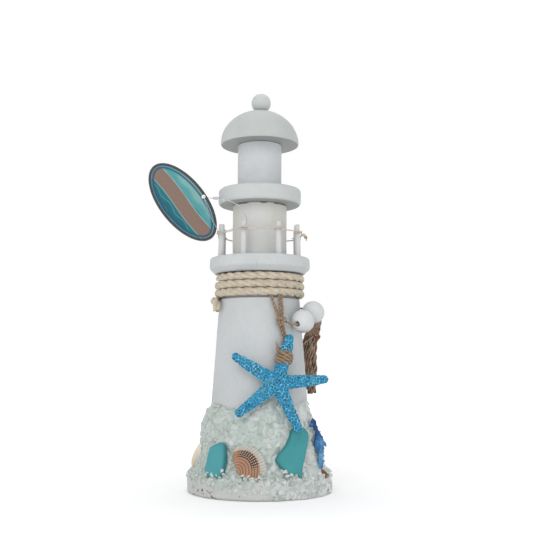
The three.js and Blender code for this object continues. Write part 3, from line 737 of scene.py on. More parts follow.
def sea_glass(name, body, edge):
    """Tumbled aqua glass: frosted, darker towards its rounded edges."""
    shade = Shader(name, roughness=0.55, Subsurface_Weight=0.25, IOR=1.48)
    shade.bsdf.inputs["Subsurface Scale"].default_value = 2 * MM
    shade.bsdf.inputs["Subsurface Radius"].default_value = (0.3, 1.0, 1.0)
    rim = shade.attribute("rim")
    cloud = shade.noise(0.09, 3, 0.55)
    toned = shade.mix(cloud, body, tuple(min(1, c * 1.18 + 0.02) for c in body))
    shade.color(shade.mix(shade.ramp(rim, [(0.15, 0.0), (0.95, 1.0)]), toned, edge))
    pits = shade.ramp(shade.cells(1.1), [(0.05, 0.0), (0.22, 1.0)])
    shade.rough(shade.ramp(shade.noise(0.5, 3), [(0.3, 0.45), (0.7, 0.65)]))
    shade.bump((pits, 0.04), (shade.noise(0.5, 4), 0.10))
    return shade.material


def brown_cockle():
    """Brown shell with fine growth rings, a dark cross-hatched band and a white ribbed margin."""
    shade = Shader("brown_cockle", roughness=0.42)
    growth = shade.attribute("growth")
    rib = shade.attribute("rib")
    across = shade.attribute("across")
    uneven = shade.wander(0.08, 0.10, 4, 0.6)
    place = shade.plus(growth, uneven)
    base = shade.ramp(place, [
        (0.0, (0.44, 0.25, 0.16)), (0.30, (0.40, 0.21, 0.125)), (0.48, (0.33, 0.165, 0.09)),
        (0.58, (0.28, 0.13, 0.068)), (0.70, (0.34, 0.15, 0.072)), (0.775, (0.39, 0.17, 0.082)),
        (0.805, (0.53, 0.49, 0.41)), (1.0, (0.58, 0.60, 0.56)),
    ])
    inner = shade.band(place, -1.0, 0.78, 0.03)
    lines = shade.sine(place, GROWTH_WAVES)
    pale = shade.times(shade.ramp(lines, [(0.2, 0.0), (0.95, 0.62)]), inner)
    color = shade.mix(pale, base, (0.64, 0.42, 0.29))
    troughs = shade.ramp(shade.times(lines, -1.0), [(0.3, 0.0), (1.0, 0.42)])
    dark = shade.times(troughs, inner)
    color = shade.mix(dark, color, (0.20, 0.10, 0.06))
    sector = shade.band(across, 0.13, 0.70, 0.10)
    hatch = shade.times(shade.band(place, 0.50, 0.795, 0.03), sector, True)
    gaps = shade.ramp(rib, [(0.45, 1.0), (0.62, 0.0)])
    weave = shade.sine(place, WEAVE_WAVES)
    bars = shade.ramp(weave, [(0.1, 1.0), (0.6, 0.0)])
    net = shade.math("MAXIMUM", gaps, shade.times(bars, 0.75))
    color = shade.mix(shade.times(hatch, net), color, (0.055, 0.025, 0.018))
    tops = shade.ramp(rib, [(0.6, 0.0), (0.85, 1.0)])
    dots = shade.ramp(weave, [(0.25, 0.0), (0.7, 1.0)])
    light = shade.times(shade.times(hatch, tops), dots)
    color = shade.mix(light, color, (0.72, 0.58, 0.45))
    margin = shade.times(shade.band(place, 0.80, 2.0, 0.02), gaps)
    shade.color(shade.mix(shade.times(margin, 0.5), color, (0.33, 0.34, 0.30)))
    shade.bump((shade.noise(0.8, 4), 0.10))
    return shade.material


def cream_cockle():
    """Cream shell, whiter at its margin and brown between the ribs."""
    shade = Shader("cream_cockle", roughness=0.5, Subsurface_Weight=0.1)
    shade.bsdf.inputs["Subsurface Scale"].default_value = 1 * MM
    growth = shade.attribute("growth")
    rib = shade.attribute("rib")
    uneven = shade.plus(growth, shade.times(shade.noise(0.1, 4, 0.6), 0.3))
    base = shade.ramp(uneven, [
        (0.2, (0.62, 0.54, 0.40)), (0.6, (0.73, 0.66, 0.53)), (1.0, (0.77, 0.72, 0.63)),
    ])
    ribs = shade.ramp(rib, [(0.2, 0.55), (0.6, 0.0)])
    shade.color(shade.mix(ribs, base, (0.42, 0.35, 0.25)))
    shade.bump((shade.noise(0.8, 4), 0.10))
    return shade.material


def seahorse_resin():
    """Blue resin: navy at the head, paler towards the tail, with streaks of both."""
    shade = Shader("seahorse_resin", roughness=0.5)
    ridge = shade.attribute("ridge")
    streaks = shade.noise(0.13, 4, 0.7)
    both = shade.plus(shade.times(ridge, 0.34), shade.times(streaks, 1.05))
    shade.color(shade.ramp(both, [
        (0.46, (0.005, 0.035, 0.14)), (0.60, (0.010, 0.11, 0.31)), (0.75, (0.045, 0.23, 0.46)),
        (0.96, (0.22, 0.43, 0.58)),
    ]))
    shade.bump((shade.noise(0.9, 4, 0.7), 0.15))
    return shade.material


def bark():
    """Brown bark with streaks along the twig, and paler wood at its broken end."""
    shade = Shader("bark", roughness=0.85)
    ends = shade.attribute("end")
    streaks = shade.noise(0.0012, 4, 0.7, shade.stretched(0.25, 9, 1, shade.uv()))
    skin = shade.ramp(streaks, [
        (0.35, (0.09, 0.045, 0.028)), (0.6, (0.25, 0.14, 0.09)), (0.75, (0.36, 0.24, 0.17)),
    ])
    shade.color(shade.mix(ends, skin, (0.42, 0.27, 0.18)))
    shade.bump((streaks, 0.5), (shade.noise(0.8, 3), 0.2))
    return shade.material


def tag_water(shade, u, v):
    """Teal water that pales towards the shore, with thin pale crests."""
    height = shade.plus(v, shade.times(shade.sine(u, 0.42), 0.7))
    water = shade.ramp(shade.plus(shade.times(height, 0.038), 0.45), [
        (0.0, (0.002, 0.085, 0.12)), (0.25, (0.003, 0.15, 0.18)), (0.5, (0.006, 0.18, 0.20)),
        (0.72, (0.08, 0.29, 0.30)), (1.0, (0.32, 0.43, 0.38)),
    ])
    crest = shade.math("SINE", shade.plus(shade.times(height, 1.5), shade.times(shade.noise(0.05, 2), 2.0)))
    return shade.mix(shade.ramp(crest, [(0.9, 0.0), (0.99, 0.18)]), water, (0.45, 0.65, 0.66))


def tag_sand(shade):
    grain = shade.noise(0.35, 4, 0.7, shade.stretched(0.25, 1, 1, shade.uv()))
    darker, lighter = (0.145, 0.092, 0.068), (0.265, 0.18, 0.142)
    return shade.mix(shade.ramp(grain, [(0.4, 0.0), (0.62, 1.0)]), darker, lighter)


def tag_print():
    """A sea-and-sand print: dark rim, blue line, teal water with paler waves and a sand bank."""
    shade = Shader("tag_print", roughness=0.5, Coat_Weight=0.04, Coat_Roughness=0.25,
                   Specular_IOR_Level=0.3)
    u, v = shade.split(shade.uv())[:2]
    edge = shade.attribute("edge")
    shore = shade.plus(shade.plus(v, shade.times(shade.sine(u, 0.13), 0.55)), 0.6)
    bank = shade.band(shore, -4.9, 4.2, 0.25)
    foam = shade.minus(shade.band(shore, -5.3, 4.6, 0.25), bank, True)
    color = shade.mix(bank, tag_water(shade, u, v), tag_sand(shade))
    color = shade.mix(shade.times(foam, 0.7), color, (0.40, 0.45, 0.44))
    color = shade.mix(shade.band(edge, 2.0, 4.6, 1.2), color, (0.003, 0.07, 0.13))
    color = shade.mix(shade.band(edge, 1.9, 2.3, 0.15), color, (0.10, 0.33, 0.46))
    rim = shade.minus(1.0, shade.band(edge, 1.9, 99.0, 0.15), True)
    fleck = shade.mix(shade.ramp(shade.noise(0.8, 3), [(0.45, 0.0), (0.6, 1.0)]),
                      (0.032, 0.037, 0.036), (0.055, 0.06, 0.06))
    color = shade.mix(rim, color, fleck)
    shade.color(shade.mix(shade.attribute("face"), (0.55, 0.54, 0.50), color))
    shade.bump((shade.noise(1.5, 3), 0.02))
    return shade.material


def nylon():
    shade = Shader("nylon", roughness=0.25, Transmission_Weight=0.6, IOR=1.2)
    shade.color(shade.ramp(shade.noise(0.3, 2), [(0.3, (0.62, 0.64, 0.65)), (0.7, (0.74, 0.75, 0.75))]))
    shade.bump((shade.noise(2.0, 2), 0.03))
    return shade.material


def beech():
    shade = Shader("beech", roughness=0.7)
    rings = shade.noise(0.5, 4, 0.6, shade.stretched(1, 1, 0.08))
    shade.color(shade.ramp(rings, [(0.35, (0.45, 0.27, 0.13)), (0.65, (0.62, 0.43, 0.25))]))
    shade.bump((rings, 0.15))
    return shade.material


# ------------------------------------------------------------------ turned and painted wood
SEAT_RADIUS = 24.6
SEAT_HEIGHT = 125.3
DOME_EDGE = 1.2
POST_COUNT = 8


def turned_piece(node, corners, paint, around=128, uneven=0.12):
    """A painted turned part from (radius, height, fillet) corners, with a hand-made unevenness
    that fades out on the axis and leaves the flat ends flat."""
    verts, faces = lathe(dense_profile(rounded_profile(corners), 2.5), around)
    nudge = ripple(verts, 0.11, uneven, len(node)) + ripple(verts, 0.5, uneven * 0.25, 3)
    lowest, highest = verts[:, 2].min(), verts[:, 2].max()
    between_ends = (verts[:, 2] > lowest + 0.4) & (verts[:, 2] < highest - 0.4)
    nudge[:, 2] *= 0.4 * between_ends
    fade = np.clip(np.hypot(verts[:, 0], verts[:, 1]) / 4, 0, 1)
    lo, hi = box_mm(node)
    centre = np.array([*(lo + hi)[:2] / 2, 0])
    bits = Bits()
    bits.add(verts + nudge * fade[:, None] + centre, faces)
    finished(bits.build(f"{node}_turned", paint), ROOT, "white_paint", node)


def add_turned(node, corners, paint, uneven):
    """A turned part whose corners are (inwards from its radius, up from its base or None for its
    top, fillet), closed on the axis at its lowest and highest level."""
    lo, hi = box_mm(node)
    between = [(hi[0] - inwards, hi[2] if up is None else lo[2] + up, fillet)
               for inwards, up, fillet in corners]
    turned_piece(node, [(0, lo[2], 0), *between, (0, hi[2], 0)], paint, uneven=uneven)


def add_tower(paint):
    """A tapered column with a narrower seat for the deck turned on its top."""
    lo, hi = box_mm("tower")
    shoulder = hi[0] - TOWER_TAPER * (SEAT_HEIGHT - lo[2])
    corners = [
        (0, lo[2], 0), (hi[0], lo[2], 0.5), (shoulder, SEAT_HEIGHT, 0.8), (SEAT_RADIUS, SEAT_HEIGHT, 0),
        (SEAT_RADIUS, hi[2], 0), (0, hi[2], 0),
    ]
    turned_piece("tower", corners, paint, around=160, uneven=0.18)


def add_turned_wood():
    # Each part has its own copy of the white paint, tinted and made lighter or darker one by one: partly a
    # cool or warm colour cast, partly painted light and shade, such as the lighter lower lantern under the
    # collar and the darker dome.
    plinth = white_paint("white_paint_worn", (1.03, 1.06, 1.03), with_worn_specks)
    tower = white_paint("white_paint_tower", (0.98, 1.02, 1.03), with_crack(65.6, 0.35, 83, 102))
    deck = white_paint("white_paint_deck", (0.985, 1.03, 1.04), with_crack(-3, 0.3, 141, 150))
    lantern = white_paint("white_paint_warm", (1.08, 1.085, 1.055), with_joint_dirt(188.1, 189.3))
    collar = white_paint("white_paint_collar", (0.94, 0.99, 0.98), with_crack(-62, 0.5, 190, 199))
    upper = white_paint("white_paint_upper", (1.01, 1.05, 1.07))
    dome = white_paint("white_paint_dome", (0.87, 0.915, 0.895))
    ball = white_paint("white_paint_finial", (0.965, 1.02, 1.0))
    posts = white_paint("white_paint_posts", (1.08, 1.10, 1.08))
    add_turned("plinth", [(0, 0, 2.2), (0, None, 1.6)], plinth, 0.3)
    add_tower(tower)
    add_turned("gallery_deck", [(3.9, 0, 0.8), (0, 3.9, 1.4), (0.3, None, 2.2)], deck, 0.22)
    add_turned("lower_lantern", [(0, 0, 0.3), (0, None, 0.3)], lantern, 0.15)
    add_turned("collar", [(0, 0, 2.6), (0, None, 2.6)], collar, 0.22)
    add_turned("upper_lantern", [(0, 0, 0.3), (0, None, 0.3)], upper, 0.15)
    add_dome(dome)
    add_finial(ball)
    add_posts(posts)


def arc(radius, first, last, count):
    """Points (outwards, up) on a circle, between two angles above the level in degrees."""
    angles = np.radians(np.linspace(first, last, count))
    return [(radius * math.cos(a), radius * math.sin(a)) for a in angles]


def add_dome(paint):
    lo, hi = box_mm("dome_roof")
    radius, height = hi[0], hi[2] - lo[2]
    stretch = (height - DOME_EDGE) / radius
    curve = [(r, lo[2] + DOME_EDGE + rise * stretch, 0) for r, rise in arc(radius, 0, 88, 26)]
    corners = [(0, lo[2], 0), (radius - 0.3, lo[2], 0.9), *curve, (0, hi[2], 0)]
    turned_piece("dome_roof", corners, paint, uneven=0.2)


def add_finial(paint):
    """A ball that stands on the flat it was cut to."""
    lo, hi = box_mm("finial")
    radius = (hi[0] - lo[0]) / 2
    centre = hi[2] - radius
    first = -math.degrees(math.asin(min(1, (centre - lo[2]) / radius)))
    curve = [(r, centre + rise, 0) for r, rise in arc(radius, first, 90, 24)[:-1]]
    turned_piece("finial", [(0, lo[2], 0), *curve, (0, hi[2], 0)], paint, around=64, uneven=0.08)


def add_posts(paint):
    """Hand-cut dowels: not quite straight, with softened, uneven tops."""
    rng = random.Random(SEED)
    for i in range(1, POST_COUNT + 1):
        node = f"rail_post_{i}"
        lo, hi = box_mm(node)
        centre = (lo + hi) / 2
        radius = (hi[0] - lo[0]) / 2
        corners = [
            (0, lo[2], 0), (radius, lo[2], 0.2), (radius * 1.04, lo[2] + 9, 0), (radius * 0.92, hi[2], 0.7),
            (0, hi[2], 0),
        ]
        verts, faces = lathe(dense_profile(rounded_profile(corners), 1.5), 28)
        verts[:, :2] += ripple(verts + centre, 0.35, 0.14, i)[:, :2]
        top = verts[:, 2] > hi[2] - 1
        verts[top, 2] -= (rng.uniform(0, 0.5) + 0.12 * verts[top, 0] * rng.choice((-1, 1))).clip(0)
        inward = -centre[:2] / np.linalg.norm(centre[:2])
        lean = np.clip((verts[:, 2] - lo[2] - 5) / 22, 0, 1) * rng.uniform(0.0, 0.7)
        verts[:, :2] += centre[:2] + inward * lean[:, None]
        bits = Bits()
        bits.add(verts, faces)
        finished(bits.build(f"post_{i}", paint), ROOT, "white_paint", node)


def finish_dowels():
    """The hidden dowels keep their CAD shape, in bare beech."""
    material = beech()
    for node in ("base_dowel", "neck_dowel", "lantern_dowel", "dome_dowel", "finial_dowel"):
        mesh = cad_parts[node].data
        mesh.materials.clear()
        mesh.materials.append(material)


# ------------------------------------------------------------------ rope under the gallery
ROPE_DIAMETER = 4.9
ROPE_PITCH = 5.1
ROPE_TURNS = 3
ROPE_START_FACING = -75
ROPE_CENTRE_RADIUS = 27.7
ROPE_TAIL_RADIUS = 30.3
ROPE_TOP = 139.45
ROPE_LAY = 21.0
ROPE_STRAND_RADIUS = 1.5
ROPE_STRAND_OFFSET = 1.12
ROPE_TAIL = [(5, 1.6), (8, 4.2), (9, 7.0)]


def smooth(t):
    """Rises from 0 to 1 without a corner, and stays level outside."""
    c = np.clip(t, 0, 1)
    return c * c * (3 - 2 * c)


def rope_line():
    """Three almost level turns that step down a row at the back left, then a short hanging tail."""
    turns = np.linspace(0, ROPE_TURNS, ROPE_TURNS * 90 + 1)
    within = turns % 1
    row = np.floor(turns) + 0.2 * within + 0.8 * smooth((within - 0.72) / 0.28)
    row[-1] = ROPE_TURNS
    outward = smooth((turns - (ROPE_TURNS - 0.45)) / 0.18)
    radius = ROPE_CENTRE_RADIUS + (ROPE_TAIL_RADIUS - ROPE_CENTRE_RADIUS) * outward
    points = [facing(ROPE_START_FACING + 360 * t, r, ROPE_TOP - ROPE_PITCH * k)
              for t, r, k in zip(turns, radius, row)]
    end = ROPE_TOP - ROPE_PITCH * ROPE_TURNS
    for turn, drop in ROPE_TAIL:
        points.append(facing(ROPE_START_FACING + turn, ROPE_TAIL_RADIUS + 0.2, end - drop))
    return resampled(np.array(points), 1.0)


def add_rope():
    rng = random.Random(SEED + 1)
    material = fibre_cord("rope_fibre", (0.385, 0.325, 0.24), (0.66, 0.59, 0.465), twist=9,
                          groove=(0.36, 0.74))
    line = rope_line()
    bits = Bits()
    strands = laid_strands(line, 3, ROPE_STRAND_OFFSET, ROPE_STRAND_RADIUS, ROPE_LAY, 14)
    for verts, faces, uv, out in strands:
        bits.add(verts, faces, uv, proud=out)
    add_fuzz(bits, line, ROPE_DIAMETER / 2, 260, rng, 3.2, 0.06)
    finished(bits.build("rope", material), ROOT, "rope", "rope_wrap")


# ------------------------------------------------------------------ rail twine
TWINE_DIAMETER = 1.0
TWINE_HEIGHT = 170
TWINE_REAR_DROP = 2
POST_RADIUS = 2
WRAP_TURN = 405
WRAP_STEPS = 14
WRAP_RISE = 0.62


def twine_height(angle):
    """The twine is level at the front and hangs lower at the back."""
    return TWINE_HEIGHT - TWINE_REAR_DROP * (1 - math.cos(math.radians(angle))) / 2


def post_facing(i):
    """The facing angle of a post and its distance from the axis."""
    lo, hi = box_mm(f"rail_post_{i}")
    centre = (lo + hi) / 2
    return math.degrees(math.atan2(centre[0], -centre[1])) % 360, np.hypot(centre[0], centre[1])


def rail_line():
    """Once round the outside of the posts, with a full turn taken round each of them."""
    posts = [post_facing(i) for i in (3, 4, 5, 6, 7, 8, 1, 2)]
    angles = [a if k < 6 else a + 360 for k, (a, _) in enumerate(posts)]
    circle = posts[0][1]
    wrap = POST_RADIUS + TWINE_DIAMETER / 2 + 0.05
    knot = angles[-1] - 360 + 12
    points = [facing(knot, circle + 1.5, twine_height(knot))]
    for a in angles:
        centre = facing(a, circle, twine_height(a))
        for step in range(WRAP_STEPS + 1):
            done = step / WRAP_STEPS
            turn = (360 - WRAP_TURN) / 2 + WRAP_TURN * done
            points.append(centre + facing(a + turn, wrap, WRAP_RISE * (1 - 2 * done)))
    points.append(facing(angles[-1] + 7, circle + 1.8, twine_height(knot) - 1.2))
    return catmull(points, 0.5)


def add_rail_twine():
    rng = random.Random(SEED + 2)
    material = fibre_cord("cotton_twine", (0.52, 0.44, 0.34), (0.80, 0.74, 0.64), twist=6)
    line = rail_line()
    bits = Bits()
    add_cord(bits, line, TWINE_DIAMETER, 2.6, sides=6)
    add_fuzz(bits, line, 0.5, 60, rng, 2.0, 0.05)
    finished(bits.build("rail_twine_strands", material), ROOT, "cotton_twine", "rail_twine")
    add_rail_knot(line)


def add_rail_knot(line):
    """The knot where the twine's two ends meet, and one short tail."""
    material = fibre_cord("cotton_twine_knot", (0.30, 0.22, 0.14), (0.60, 0.50, 0.37), twist=6)
    lo, hi = box_mm("rail_twine_knot")
    centre = (lo + hi) / 2
    bits = Bits()
    add_cord(bits, lying(trefoil(0.28, 0.75, 0.28)) + centre, TWINE_DIAMETER * 0.9, 2.6, sides=6)
    first, last = line[0], line[-1]
    tails = [
        [first, (first + centre) / 2 + [0.6, 0, 0.8], centre],
        [last, (last + centre) / 2 + [0.4, 0.3, 0.2], centre + [0, 0, 0.5]],
        [centre, centre + [0.5, -0.4, -1.4], centre + [0.2, -0.5, -2.4]],
    ]
    for points in tails:
        add_cord(bits, catmull(points, 0.4), TWINE_DIAMETER * 0.85, 2.4, sides=6)
    finished(bits.build("rail_knot_strands", material), ROOT, "cotton_twine", "rail_twine_knot")


# ------------------------------------------------------------------ bank of crushed glass
CHIP_TEMPLATES = 14
BANK_CHIP_LIMIT = 44
# The last chips hang from the plinth's edge at the front: facing and height.
HANGING_CHIPS = [(12, 0.6), (13.5, 2.0), (15.5, 1.0), (17, 2.2), (11, 2.4)]
# Chips that lean over each decoration's foot: its place, points in its plane, and how far forward.
FOOT_CHIPS = [
    (GLASS_LEFT_PLACE, [(-6.6, -10.6), (-3, -11.6), (1, -12.2), (4.6, -11.4), (7.4, -9)], 2.0),
    (GLASS_LEFT_PLACE, [(-4.6, -9.4), (-0.6, -10.6), (3, -10), (6.4, -7.4)], 2.6),
    (GLASS_RIGHT_PLACE, [(-9.8, -11.6), (-6.6, -14.6), (-2.6, -15.6), (5.4, -15), (1, -18)], 2.0),
    (GLASS_RIGHT_PLACE, [(-8, -12), (-4, -14), (-0.4, -15), (4.4, -16.6)], 2.6),
    (COCKLE_PLACE[:3], [(-5, -8), (-2, -9.2), (1.4, -9.8), (4.6, -9.8), (7.6, -8.8), (9, -6.6)], 2.8),
    (COCKLE_PLACE[:3], [(-3.4, -7.4), (0, -8.2), (3, -8.8), (6.4, -8.2)], 3.6),
]


def chip_templates(rng):
    """Convex splinters about one unit across."""
    templates = []
    for _ in range(CHIP_TEMPLATES):
        mesh = bmesh.new()
        flat = rng.uniform(0.5, 0.9)
        for _ in range(rng.randrange(9, 14)):
            direction = Vector([rng.gauss(0, 1) for _ in range(3)]).normalized()
            reach = rng.uniform(0.42, 0.56)
            mesh.verts.new(Vector((direction.x, direction.y, direction.z * flat)) * reach)
        bmesh.ops.convex_hull(mesh, input=mesh.verts)
        loose = [v for v in mesh.verts if not v.link_faces]
        bmesh.ops.delete(mesh, geom=loose, context="VERTS")
        bmesh.ops.recalc_face_normals(mesh, faces=mesh.faces)
        mesh.verts.index_update()
        verts = np.array([v.co for v in mesh.verts])
        templates.append((verts, [[v.index for v in f.verts] for f in mesh.faces]))
        mesh.free()
    return templates


def outer_samples(node, count, rng, inner_radius):
    """Random points and normals on a node's own surface, on the side away from the tower."""
    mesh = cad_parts[node].data
    mesh.calc_loop_triangles()
    co = np.array([v.co for v in mesh.vertices]) / MM
    triangles = np.array([t.vertices for t in mesh.loop_triangles])
    a, b, c = co[triangles[:, 0]], co[triangles[:, 1]], co[triangles[:, 2]]
    normal = np.cross(b - a, c - a)
    area = np.linalg.norm(normal, axis=1)
    normal /= np.maximum(area, 1e-9)[:, None]
    middle = (a + b + c) / 3
    out = middle[:, :2] / np.linalg.norm(middle[:, :2], axis=1)[:, None]
    outward = (normal[:, :2] * out).sum(1)
    good = ((outward > -0.2) | (normal[:, 2] > 0.5)) & (normal[:, 2] > -0.6)
    good &= np.linalg.norm(middle[:, :2], axis=1) > inner_radius
    weights = (area * good).tolist()
    chosen = rng.choices(range(len(weights)), weights=weights, k=count)
    points = []
    for i in chosen:
        s, t = rng.random(), rng.random()
        if s + t > 1:
            s, t = 1 - s, 1 - t
        points.append((a[i] + (b[i] - a[i]) * s + (c[i] - a[i]) * t, normal[i]))
    return points


def random_turn(rng):
    """A rotation matrix from a random unit quaternion."""
    q = np.array([rng.gauss(0, 1) for _ in range(4)])
    w, x, y, z = q / np.linalg.norm(q)
    return np.array([
        [1 - 2 * (y * y + z * z), 2 * (x * y - z * w), 2 * (x * z + y * w)],
        [2 * (x * y + z * w), 1 - 2 * (x * x + z * z), 2 * (y * z - x * w)],
        [2 * (x * z - y * w), 2 * (y * z + x * w), 1 - 2 * (x * x + y * y)],
    ])


def add_chips(bits, samples, templates, rng, small, large, sink, floor=0.15, grit=0.006):
    """A chip at each (point, outward normal), sunk by a share of its size, none below the floor."""
    for point, normal in samples:
        verts, faces = rng.choice(templates)
        size = small + (large - small) * rng.random() ** 1.5
        brown = rng.random() < grit
        if brown:
            size *= 0.55
        stretch = np.array([rng.uniform(0.8, 1.25) for _ in range(3)])
        shape = (verts * stretch * size) @ random_turn(rng).T + point - normal * (sink * size)
        shape[:, 2] += max(0, floor - shape[:, 2].min())
        tint = min(1, max(0, rng.gauss(0.5, 0.25)))
        bits.add(shape, faces, tint=tint, grit=float(brown))


def decorations():
    """Each decoration on the bank: the inverse of its frame, and its outline there."""
    places = [
        (GLASS_LEFT_PLACE, GLASS_LEFT_OUTLINE), (GLASS_RIGHT_PLACE, GLASS_RIGHT_OUTLINE),
        (COCKLE_PLACE, COCKLE_OUTLINE), (CREAM_PLACE, CREAM_OUTLINE), (SEAHORSE_PLACE, SEAHORSE_OUTLINE),
    ]
    return [(np.linalg.inv(surface_frame(*place)), outline) for place, outline in places]


def inside(outline, x, y):
    """Whether a point lies within a closed outline, by the edges it sees to its right."""
    crossings = 0
    for (x0, y0), (x1, y1) in zip(outline, outline[1:] + outline[:1]):
        if (y0 > y) != (y1 > y) and x < x0 + (x1 - x0) * (y - y0) / (y1 - y0):
            crossings += 1
    return crossings % 2 == 1


def clear_of(pieces, samples):
    """Leaves out the samples that lie over a decoration."""
    kept = []
    for point, normal in samples:
        hidden = False
        for inverse, outline in pieces:
            x, y, z = placed(point, inverse)
            if z > -8 and inside(outline, x, y):
                hidden = True
        if not hidden:
            kept.append((point, normal))
    return kept


def foot_samples(place, points, depth):
    """Places for the chips that lean over a decoration's foot."""
    matrix = surface_frame(*place)
    normal = matrix[:3, 2]
    return [(placed(np.array([x, y, depth]), matrix), normal) for x, y in points]


RIM_LIMIT_FACINGS = [-180, -110, -80, -62, -46, -30, -15, 0, 8, 14, 95, 112, 140, 180]
RIM_LIMIT_HEIGHTS = [9.8, 10.6, 10.6, 9.2, 7.0, 5.4, 4.6, 3.8, 2.75, 0.4, 0.6, 6.0, 9.5, 9.8]


def rim_limit(angle):
    """How far down the plinth's side the glass has run, by facing."""
    wrapped = (angle + 180) % 360 - 180
    return float(np.interp(wrapped, RIM_LIMIT_FACINGS, RIM_LIMIT_HEIGHTS))


def plinth_side_samples(count, rng, radius, top):
    """Random places on the plinth's side that the glass has run over."""
    samples = []
    while len(samples) < count:
        angle = rng.uniform(-180, 180)
        low = rim_limit(angle) + rng.gauss(0, 0.5)
        height = rng.uniform(0.3, top)
        if height > low:
            samples.append((facing(angle, radius, height), facing(angle, 1, 0)))
    return samples


def plinth_top_samples(count, rng, inner, outer, top):
    """Random places on the plinth's top, outside the bank."""
    samples = []
    for _ in range(count):
        angle = rng.uniform(-180, 180)
        samples.append((facing(angle, rng.uniform(inner, outer), top), np.array([0, 0, 1.0])))
    return samples


BANK_TOP_MEAN = 54.9
BANK_TOP_RISE = 2.6
BANK_CREST_FACING = 25
BANK_TOP_WAVE = 1.6
BANK_WAVE_PHASE = 75


def bank_top(angle):
    """How high up the tower the glass reaches, by facing."""
    rise = BANK_TOP_RISE * math.cos(math.radians(angle - BANK_CREST_FACING))
    return BANK_TOP_MEAN + rise + BANK_TOP_WAVE * math.sin(math.radians(5 * angle + BANK_WAVE_PHASE))


def top_edge_samples(count, rng):
    """Loose chips along the bank's wavering top edge, on the tower's wall."""
    lo, hi = box_mm("tower")
    samples = []
    for _ in range(count):
        angle = rng.uniform(0, 360)
        height = bank_top(angle) - 1.2 + abs(rng.gauss(0, 1.3))
        radius = hi[0] - TOWER_TAPER * (height - lo[2])
        samples.append((facing(angle, radius, height), facing(angle, 1, 0)))
    return samples


SKIN_FOOT = [(47.5, 0.4), (47.5, 4), (47.5, 8), (47.5, 11.2), (46.9, 12.7), (45.6, 13.4)]
SKIN_SLOPE = [(41.9, 19.3), (39.8, 27), (38.7, 36.5), (37.9, 44.2)]
SKIN_RIGHT_HOLLOW = [0, 0, 0.5, 1.9]
SKIN_ROWS = 132
SKIN_COLUMNS = 560
PLATE_SIZE = 3.3
PLATE_TILT = 0.26
CREASE_DEPTH = 0.4
CREASE_WIDTH = 0.55


def skin_outline(angle):
    """The outline of the glass from the plinth's foot to its edge on the tower, at one facing."""
    lo, hi = box_mm("tower")
    top = bank_top(angle) + 1.0
    wall = hi[0] - TOWER_TAPER * (top - lo[2])
    sideways = math.sin(math.radians(angle))
    bulge = 0.78 - 0.30 * sideways
    shoulder = [(wall + 3.4 * bulge, top - 5.2), (wall + 2.5 * bulge, top - 2.6),
                (wall + 1.2 * bulge, top - 0.7), (wall + 0.5 * bulge, top)]
    slope = [(r - hollow * max(0, sideways), z)
             for (r, z), hollow in zip(SKIN_SLOPE, SKIN_RIGHT_HOLLOW)]
    path = np.array([(r, 0, z) for r, z in SKIN_FOOT + slope + shoulder])
    return resampled(catmull(path, 0.5), 0.2)


def skin_grid(columns, rows):
    """Points of the glass surface and their outward normals, over facing and outline."""
    points = np.empty((rows, columns, 3))
    normals = np.empty((rows, columns, 3))
    for j in range(columns):
        angle = 360 * j / columns
        outline = skin_outline(angle)
        at = np.linspace(0, len(outline) - 1, rows)
        r = np.interp(at, np.arange(len(outline)), outline[:, 0])
        z = np.interp(at, np.arange(len(outline)), outline[:, 2])
        dr, dz = np.gradient(r), np.gradient(z)
        size = np.hypot(dr, dz)
        out = facing(angle, 1, 0)
        points[:, j] = out * r[:, None] + np.array([0, 0, 1]) * z[:, None]
        normals[:, j] = out * (dz / size)[:, None] - np.array([0, 0, 1]) * (dr / size)[:, None]
    return points, normals


def chunk_centres(points, normals, spacing, rng):
    """One random place in each square of a coarse net over the surface."""
    rows, columns, _ = points.shape
    height = np.linalg.norm(np.diff(points[:, 0], axis=0), axis=1).sum()
    up = max(4, int(height / spacing))
    centres = []
    for i in range(up):
        row = min(rows - 1, int((i + rng.uniform(0.1, 0.9)) / up * rows))
        around = int(2 * math.pi * np.hypot(*points[row, 0, :2]) / spacing)
        for k in range(around):
            row = min(rows - 1, int((i + rng.uniform(0.02, 0.98)) / up * rows))
            column = int((k + rng.random()) / around * columns) % columns
            centres.append((points[row, column], normals[row, column]))
    return centres


def glass_plates(points, normals, rng):
    """A tree of the plates' centres, and for each its centre, tilt, offset, tone and whether
    there is any glass there."""
    centres = chunk_centres(points, normals, PLATE_SIZE, rng)
    tree = kdtree.KDTree(len(centres))
    plates = []
    for i, (centre, _) in enumerate(centres):
        tree.insert(centre, i)
        angle = math.degrees(math.atan2(centre[0], -centre[1]))
        low = rim_limit(angle) + rng.gauss(0, 0.6)
        high = bank_top(angle) + rng.gauss(0, 0.9)
        tilt = np.array([rng.gauss(0, PLATE_TILT) for _ in range(3)])
        # Painted shade: the mean tone falls towards the bank's left and rises towards its right, by facing,
        # with a random spread about it.
        tone = min(1, max(0, rng.gauss(0.42 + 0.34 * math.sin(math.radians(angle)), 0.22)))
        plates.append((centre, tilt, rng.uniform(-0.35, 0.45), tone, low < centre[2] < high))
    tree.balance()
    return tree, plates


